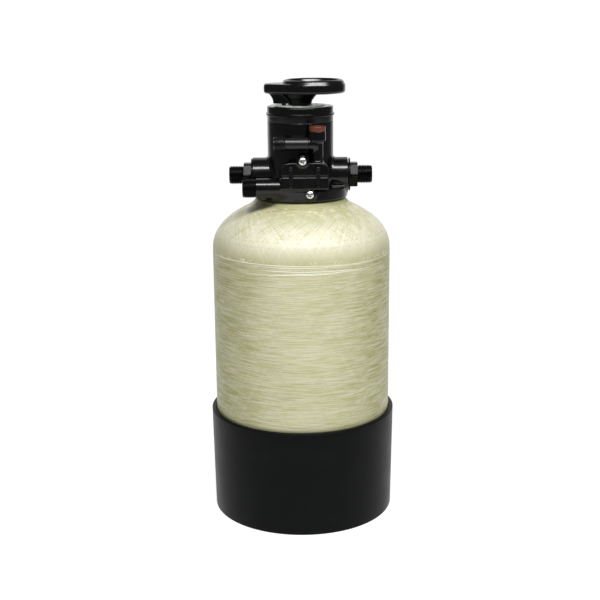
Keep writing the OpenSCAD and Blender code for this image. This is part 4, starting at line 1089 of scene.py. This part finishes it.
class SOFTENER_OT_nipples(bpy.types.Operator):
    """Cuts the two threaded nipples with their hexagons and flanges"""
    bl_idname = "softener.nipples"
    bl_label = "Nipples"

    def execute(self, context):
        for side, name in ((-1, "inlet_nipple"), (1, "outlet_nipple")):
            self.nipple(side, name)
        return {"FINISHED"}

    def nipple(self, side, name):
        """One nipple: turned, then its end in the port narrowed and its hexagon pressed out."""
        r, pitch, depth = HALF_INCH
        flange = rounded([(9.3, 0.02, 0), (FLANGE_R, 0.02, 0.4), (FLANGE_R, FLANGE_T, 0.5),
                          (13.0, FLANGE_T, 0)]).tolist()
        section = [(NIPPLE_BORE, -13.0), (9.0, -13.0)] + thread_rows(r, *INNER_THREAD, pitch) + flange
        section += [(13.0, HEX_BASE), (HEX_HALF, 2.2), (HEX_HALF, 9.4), (12.9, HEX_TOP), (9.6, HEX_TOP)]
        section += thread_rows(r, *OUTER_THREAD, pitch) + [(9.1, 26.4), (8.8, 26.5), (NIPPLE_BORE, 26.5)]
        section = np.array(section)
        thread = (*OUTER_THREAD, pitch, depth, r)
        points, faces = spun(section, NIPPLE_STEPS, True, Matrix.Identity(4), thread)
        height = section[:, 1]
        on = np.repeat((height >= INNER_THREAD[0]) & (height <= INNER_THREAD[1]), NIPPLE_STEPS)
        radius = np.hypot(points[:, 0], points[:, 1])
        on &= radius > 10.2
        points[on, :2] *= ((radius[on] - 0.55) / radius[on])[:, None]
        theta = np.arctan2(points[:, 1], points[:, 0])
        six = HEX_HALF / np.cos((theta + np.pi / 6) % (np.pi / 3) - np.pi / 6)
        z = points[:, 2]
        radius = np.hypot(points[:, 0], points[:, 1])
        hexed = (radius > 12.5) & (z > HEX_BASE - 0.05) & (z < HEX_TOP + 0.05)
        near_end = (z > HEX_TOP - 0.3) | (z < HEX_BASE + 0.2)
        out = np.minimum(six, np.where(near_end, HEX_BEVEL, HEX_CORNER))
        points[hexed, :2] *= (out[hexed] / radius[hexed])[:, None]
        at = (side * (PORT_REACH + GASKET_T), 0, NECK_TOP + PORT_H)
        points = placed(points, axis_place((side, 0, 0), at))
        obj = mesh_piece(name + "_moulding", points, faces, FINISH["nipple"], ROOT, [name], "nipple_plastic")
        sharpen(obj, 40)


def clip_field(x, y, z):
    """Distance to the two clips that hold the housing down."""
    p = (x, y, z)
    front = HOUSING_FRONT - CLIP_OUT
    d = None
    for cx in CLIP_X:
        lo, hi = cx - CLIP_HALF, cx + CLIP_HALF
        clip = block(p, (lo, front, CLIP_BASE), (hi, HOUSING_FRONT - 0.05, CLIP_TOP), 0.6)
        for base in (CLIP_BASE, CLIP_TOP - 3):
            hook = block(p, (lo, front, base), (hi, HOUSING_FRONT + 3, base + 3), 0.5)
            clip = soft_min(clip, hook, 0.5)
        d = clip if d is None else np.minimum(d, clip)
    return d


def screw_field(at, shank, head_r=4.3, head_h=3.0, shank_r=2.0):
    """Distance to a pan head screw with a cross recess, head to the front."""
    x0, z0, y0 = at
    reach, half, turn = 2.8, 0.8, 0.5
    c, s = math.cos(turn), math.sin(turn)
    ball = (head_r * head_r + head_h * head_h) / (2 * head_h) + 1.6

    def field(x, y, z):
        u, w, out = x - x0, z - z0, y0 - y
        p = (u, w, out)
        q = np.hypot(u, w)
        dome = np.sqrt(q * q + (out - head_h + ball) ** 2) - ball
        head = soft_max(rod(p, 2, MIDDLE, head_r, 0, head_h, 0.5), dome, 0.4)
        a, b = c * u + s * w, c * w - s * u
        taper = 0.25 * (head_h - out)
        for far, across in ((a, b), (b, a)):
            wall = np.maximum(np.abs(across) - half + taper * 0.3, head_h * 0.3 - out)
            head = soft_max(head, -edge(np.abs(far) - reach + taper, wall, 0.1), 0.15)
        return np.minimum(head, rod(p, 2, MIDDLE, shank_r, -shank, 0.5, 0.3))

    return field


class SOFTENER_OT_injector(bpy.types.Operator):
    """Moulds the injector housing, its clips, screws, column cap and brine connector"""
    bl_idname = "softener.injector"
    bl_label = "Injector"

    def execute(self, context):
        cell = context.scene.softener_valve.cell / MM
        moulded("injector_moulding", housing_field, (-24, -59, 27), (33, -34, 80), cell * 0.7, 0.45, "valve",
                ROOT, "injector_housing", "valve_plastic")
        moulded("clip_pair", clip_field, (-15, -60, 15), (24, -51, 42), cell * 0.5, 0.5, "clip", ROOT,
                "housing_clips", "clip_plastic")
        for at, shank, name in ((UPPER_SCREW, 30, "upper_screw"), (LOWER_SCREW, 13, "lower_screw")):
            x, z, y = at
            moulded(name, screw_field(at, shank), (x - 5, y - 4, z - 5), (x + 5, y + shank + 1, z + 5),
                    cell * 0.3, 0.5, "steel", ROOT, "pan_screws", "screw_steel")
        self.column_cap()
        self.brine()
        return {"FINISHED"}

    def column_cap(self):
        """The cap in the column's cup, with the groove of its seal and a dished top."""
        plug, groove, wide, base = 6.9, 4.7, 8.9, 70.05
        top = CUP_TOP + 5.45
        section = rounded([
            (POLE_R, base, 0), (plug, base, 0.3), (plug, 72, 0.1), (groove, 72, 0.1), (groove, 74.6, 0.1),
            (plug, 74.6, 0.1), (plug, CUP_TOP + 0.05, 0), (wide, CUP_TOP + 0.05, 0.4), (wide, top, 0.9),
            (6.2, top, 0.4), (5.8, top - 0.5, 0.3), (POLE_R, top - 0.5, 0),
        ])
        place = Matrix.Translation((COLUMN_X, COLUMN_Y, NECK_TOP))
        turned("column_lid", section, 72, False, place, "cap", "column_cap", "cap_plastic", 45)

    def brine(self):
        """The brine connector: a plug in the column, a plain tube and a threaded end."""
        r, pitch, depth = THREE_EIGHTHS
        bore, wide_bore, plug = 3.4, 4.6, 4.8
        start, end = 13.4, -29.8
        length = start - end
        a, b = start - 8.7, start + 16.7
        first, last = b + 0.5, length - 0.5
        tube = rounded([(4.7, 0.0, 0), (plug, 0.3, 0.1), (plug, a, 0.1), (7.0, a, 0.4), (BRINE_R, a + 4, 1),
                        (BRINE_R, b, 0.4), (8.0, b, 0)])
        section = [(bore, 0.0)] + tube.tolist() + thread_rows(r, first, last, pitch)
        section += [(7.2, length), (wide_bore, length), (wide_bore, b), (bore, b)]
        place = axis_place((-1, 0, 0), (start, COLUMN_Y, NECK_TOP + BRINE_H))
        turned("brine_moulding", section, 80, True, place, "tube", "brine_connector", "valve_plastic", 55,
               (first, last, pitch, depth, r))


# Handle, in millimetres above the neck
KNOB_R, KNOB_X, NOSE_REACH, KNOB_BASE, NOSE_TOP, RIM_TOP = 35.8, 14.8, 40.4, 115.6, 126.2, 130.5
HUB_BASE, HUB_R, HUB_FLARE, DISH_FLOOR, DISH_R = CAP_TOP + 0.9, 13.0, 9.0, 120.1, 24.5
WEB_BASE, WEB_HALF, WEB_REACH, NOSE_SIDE = CAP_TOP + 2.4, 5.5, 30.0, math.radians(117.25)
STEM_HALF, SLEEVE_R, SCREW_HOLE_R = 6.6, 10.1, 2.75


def handle_field(x, y, z):
    """Distance to the handle: round knob with a dish, nose, hub and web."""
    p = (x, y, z)

    # Knob and nose
    n = (math.cos(NOSE_SIDE), math.sin(NOSE_SIDE))
    reach = KNOB_R - 0.4
    sides = (x - KNOB_X) * n[0] + np.abs(y) * n[1] - reach
    nose = soft_max(soft_max(sides, -x - NOSE_REACH, 6.0), x - KNOB_X - reach * n[0], 0.5)
    from_knob = np.hypot(x - KNOB_X, y)
    plan = soft_min(nose, from_knob - KNOB_R, 1.5)
    d = edge(plan, np.abs(z - (KNOB_BASE + NOSE_TOP) / 2) - (NOSE_TOP - KNOB_BASE) / 2, 2.6)
    lean = (from_knob - (KNOB_R - 0.1) + soft_max(z - NOSE_TOP + 1.2, 0 * z, 1.2) * 0.56) * 0.87
    knob = edge(lean, np.abs(z - (KNOB_BASE + 1 + RIM_TOP) / 2) - (RIM_TOP - KNOB_BASE - 1) / 2, 2.0)
    d = soft_min(d, knob, 0.6)

    # Hub that flares into the knob
    under, top = KNOB_BASE - HUB_FLARE, KNOB_BASE + 2
    hub = rod(p, 2, MIDDLE, HUB_R, HUB_BASE, top, 0.5)
    flare = (np.hypot(x, y) - HUB_R - np.clip(z - KNOB_BASE + HUB_FLARE, 0, 9.5) * 0.83) * 0.77
    flare = soft_max(flare, np.maximum(under - z, z - KNOB_BASE - 2), 0.5)
    d = soft_min(d, soft_min(hub, flare, 2.0), 2.0)

    # Web under the nose, and its stop
    lift = np.clip((z - CAP_TOP - 2.4) / 12.6, 0, 1.1)
    web = soft_max(-WEB_REACH - 6.5 * lift ** 2.2 - x, np.abs(y) - WEB_HALF, 1.5)
    ends = np.maximum(WEB_BASE - z + np.clip(x + 15, 0, 15) * 0.14, z - KNOB_BASE - 2)
    d = soft_min(d, soft_max(soft_max(web, x, 0.5), ends, 1.0), 2.0)
    stop = block(p, (-20.6, -WEB_HALF, CAP_TOP + 1.1), (-15.8, WEB_HALF, CAP_TOP + 5), 0.4)
    d = soft_min(d, stop, 0.6)

    # Dish, and the holes for stem, sleeve and screw
    bowl = (from_knob - DISH_R - (z - DISH_FLOOR) * 0.53) * 0.88
    d = soft_max(d, -soft_max(bowl, DISH_FLOOR - z, 3.0), 1.8)
    square = np.maximum(np.maximum(np.abs(x), np.abs(y)) - STEM_HALF, z - DISH_FLOOR + 3.5)
    d = np.maximum(d, -square)
    d = np.maximum(d, -rod(p, 2, MIDDLE, SLEEVE_R, HUB_BASE - 3, WEB_BASE, 0.1))
    return np.maximum(d, -rod(p, 2, MIDDLE, SCREW_HOLE_R, 110, 124, 0.1))


class SOFTENER_OT_handle(bpy.types.Operator):
    """Moulds the handle, and its screw in the dish"""
    bl_idname = "softener.handle"
    bl_label = "Handle"

    def execute(self, context):
        cell = context.scene.softener_valve.cell / MM
        moulded("handle_moulding", handle_field, (-43, -38, 100), (53, 38, 133), cell * 0.85, 0.45, "handle",
                TURNING, "handle", "handle_plastic")
        screw = screw_field((0, 0, 0), 15, 4.75, 3.4, 2.5)

        def upright(x, y, z):
            return screw(x, DISH_FLOOR - z, y)

        moulded("dish_screw", upright, (-5.5, -5.5, DISH_FLOOR - 16), (5.5, 5.5, DISH_FLOOR + 4),
                cell * 0.35, 0.5, "steel", TURNING, "handle_screw", "screw_steel")
        return {"FINISHED"}


# Stage, in metres: the light, the floor and its rise, the pale stretch of floor, and the camera
KEY_AT, KEY_SIZE, KEY_AIM = (0.25, -1.3, 2.25), (2.8, 0.42), (0, 0, 0.33)
FLOOR_HALF, FLOOR_ROWS, RISE_AT, RISE_R, WALL_TOP = 5.0, (-5.0, -2.5, -0.8, 0.0), 1.6, 0.9, 4.0
PALE_TO, DARK_FROM, DARK_SHARE, ASIDE_SHARE = 1.15, 1.65, 0.12, 0.75
FLOOR_GLOW, FLOOR_SHADE = 0.86, 0.26
CAMERA_AT, LENS, SENSOR = (0, -1.30887, 0.57871), 69.383, 36.0
CAMERA_PITCH, CAMERA_ROLL, CAMERA_YAW = math.radians(14.165), -0.00859, -0.00153


class SOFTENER_OT_stage(bpy.types.Operator):
    """Sets the floor with its backdrop, the light and the camera"""
    bl_idname = "softener.stage"
    bl_label = "Stage"

    def execute(self, context):
        look = context.scene.softener_stage
        self.sweep(context, look)
        self.room(context, look)
        light = bpy.data.lights.new("key", "AREA")
        light.shape, light.energy = "RECTANGLE", look.key
        light.size, light.size_y = KEY_SIZE
        obj = bpy.data.objects.new("key", light)
        obj.location = KEY_AT
        obj.rotation_euler = (Vector(KEY_AIM) - Vector(KEY_AT)).to_track_quat("-Z", "Y").to_euler()
        context.scene.collection.objects.link(obj)
        self.camera(context)
        context.scene.view_settings.view_transform = "Standard"
        return {"FINISHED"}

    def sweep(self, context, look):
        """A pale floor that curves up into a backdrop."""
        path = [(y, 0.0) for y in (*FLOOR_ROWS, RISE_AT)]
        for a in np.linspace(0.12, math.pi / 2, 13):
            path.append((RISE_AT + RISE_R * math.sin(a), RISE_R - RISE_R * math.cos(a)))
        path.append((RISE_AT + RISE_R, WALL_TOP))
        points = [(x, y, z) for y, z in path for x in (-FLOOR_HALF, FLOOR_HALF)]
        faces = [(2 * k, 2 * k + 1, 2 * k + 3, 2 * k + 2) for k in range(len(path) - 1)]
        mesh = bpy.data.meshes.new("floor_sweep")
        mesh.from_pydata(points, [], faces)
        mesh.polygons.foreach_set("use_smooth", np.ones(len(faces), bool))
        mesh.materials.append(self.floor_finish(look))
        obj = bpy.data.objects.new("floor_sweep", mesh)
        context.scene.collection.objects.link(obj)

    def floor_finish(self, look):
        """Even white near the part where it is seen or mirrored, dark far in front, plain to other light."""
        material = bpy.data.materials.new("pale floor")
        material.use_nodes = True
        tree = material.node_tree
        tree.nodes.clear()
        ray = add(tree, "ShaderNodeLightPath").outputs
        mirrored = maths(tree, "MAXIMUM", ray["Is Glossy Ray"], ray["Is Transmission Ray"])
        seen = maths(tree, "MAXIMUM", ray["Is Camera Ray"], mirrored)
        at = add(tree, "ShaderNodeTexCoord").outputs["Object"]
        x, y, _ = add(tree, "ShaderNodeSeparateXYZ", {0: at}).outputs
        front = maths(tree, "MINIMUM", y, 0.0)
        aside = times(tree, x, ASIDE_SHARE)
        away = maths(tree, "SQRT", plus(tree, times(tree, aside, aside), times(tree, front, front)))
        near = spread(tree, away, PALE_TO, DARK_FROM, 1.0, DARK_SHARE)
        plain = add(tree, "ShaderNodeBsdfDiffuse", {"Color": rgba(look.floor)})
        tint = blend(tree, near, rgba((0.0, 0.0, 0.0)), rgba((FLOOR_SHADE, FLOOR_SHADE, FLOOR_SHADE)))
        shade = add(tree, "ShaderNodeBsdfDiffuse", {"Color": tint})
        glow = times(tree, near, FLOOR_GLOW)
        white = add(tree, "ShaderNodeEmission", {"Color": (1, 1, 1, 1), "Strength": glow})
        both = add(tree, "ShaderNodeAddShader", {0: shade.outputs[0], 1: white.outputs[0]})
        mix = add(tree, "ShaderNodeMixShader", {0: seen, 1: plain.outputs[0], 2: both.outputs[0]})
        add(tree, "ShaderNodeOutputMaterial", {"Surface": mix.outputs[0]})
        return material

    def room(self, context, look):
        """Even light from all round."""
        world = bpy.data.worlds.new("room")
        world.use_nodes = True
        background = world.node_tree.nodes["Background"].inputs
        background[0].default_value = (1, 1, 1, 1)
        background[1].default_value = look.room
        context.scene.world = world

    def camera(self, context):
        """A camera that looks down a little on the part."""
        pitch, roll, yaw = CAMERA_PITCH, CAMERA_ROLL, CAMERA_YAW
        ahead = Vector((math.sin(yaw) * math.cos(pitch), math.cos(yaw) * math.cos(pitch), -math.sin(pitch)))
        right = Vector((math.cos(yaw), -math.sin(yaw), 0))
        up = right.cross(ahead)
        across = right * math.cos(roll) + up * math.sin(roll)
        upward = up * math.cos(roll) - right * math.sin(roll)
        data = bpy.data.cameras.new("camera")
        data.sensor_width, data.lens = SENSOR, LENS
        data.clip_start, data.clip_end = 0.05, 50.0
        obj = bpy.data.objects.new("camera", data)
        turn = Matrix((across, upward, -ahead)).transposed().to_4x4()
        obj.matrix_world = Matrix.Translation(CAMERA_AT) @ turn
        context.scene.collection.objects.link(obj)
        context.scene.camera = obj


class SOFTENER_PT_panel(bpy.types.Panel):
    """Lists the pieces and the values that set their looks"""
    bl_idname = "SOFTENER_PT_panel"
    bl_label = "Water softener"
    bl_space_type = "VIEW_3D"
    bl_region_type = "UI"
    bl_category = "Softener"

    def draw(self, context):
        for label, holder in GROUPS.items():
            box = self.layout.box()
            values = getattr(context.scene, "softener_" + label)
            for key in holder.__annotations__:
                box.prop(values, key)
        for operator in OPERATORS:
            self.layout.operator(operator.bl_idname)


GROUPS = {"tank": TankLook, "boot": BootLook, "valve": ValveLook, "stage": StageLook}
OPERATORS = (SOFTENER_OT_stage, SOFTENER_OT_finishes, SOFTENER_OT_tank, SOFTENER_OT_boot, SOFTENER_OT_body,
             SOFTENER_OT_cap, SOFTENER_OT_nipples, SOFTENER_OT_injector, SOFTENER_OT_handle)


def register():
    for cls in (*GROUPS.values(), *OPERATORS, SOFTENER_PT_panel):
        bpy.utils.register_class(cls)
    for label, holder in GROUPS.items():
        setattr(bpy.types.Scene, "softener_" + label, PointerProperty(type=holder))


def unregister():
    for label in GROUPS:
        delattr(bpy.types.Scene, "softener_" + label)
    for cls in (SOFTENER_PT_panel, *reversed(OPERATORS), *reversed(list(GROUPS.values()))):
        bpy.utils.unregister_class(cls)


def main():
    register()
    for operator in OPERATORS:
        name = operator.bl_idname.split(".")[1]
        getattr(bpy.ops.softener, name)()


if __name__ == "__main__":
    main()
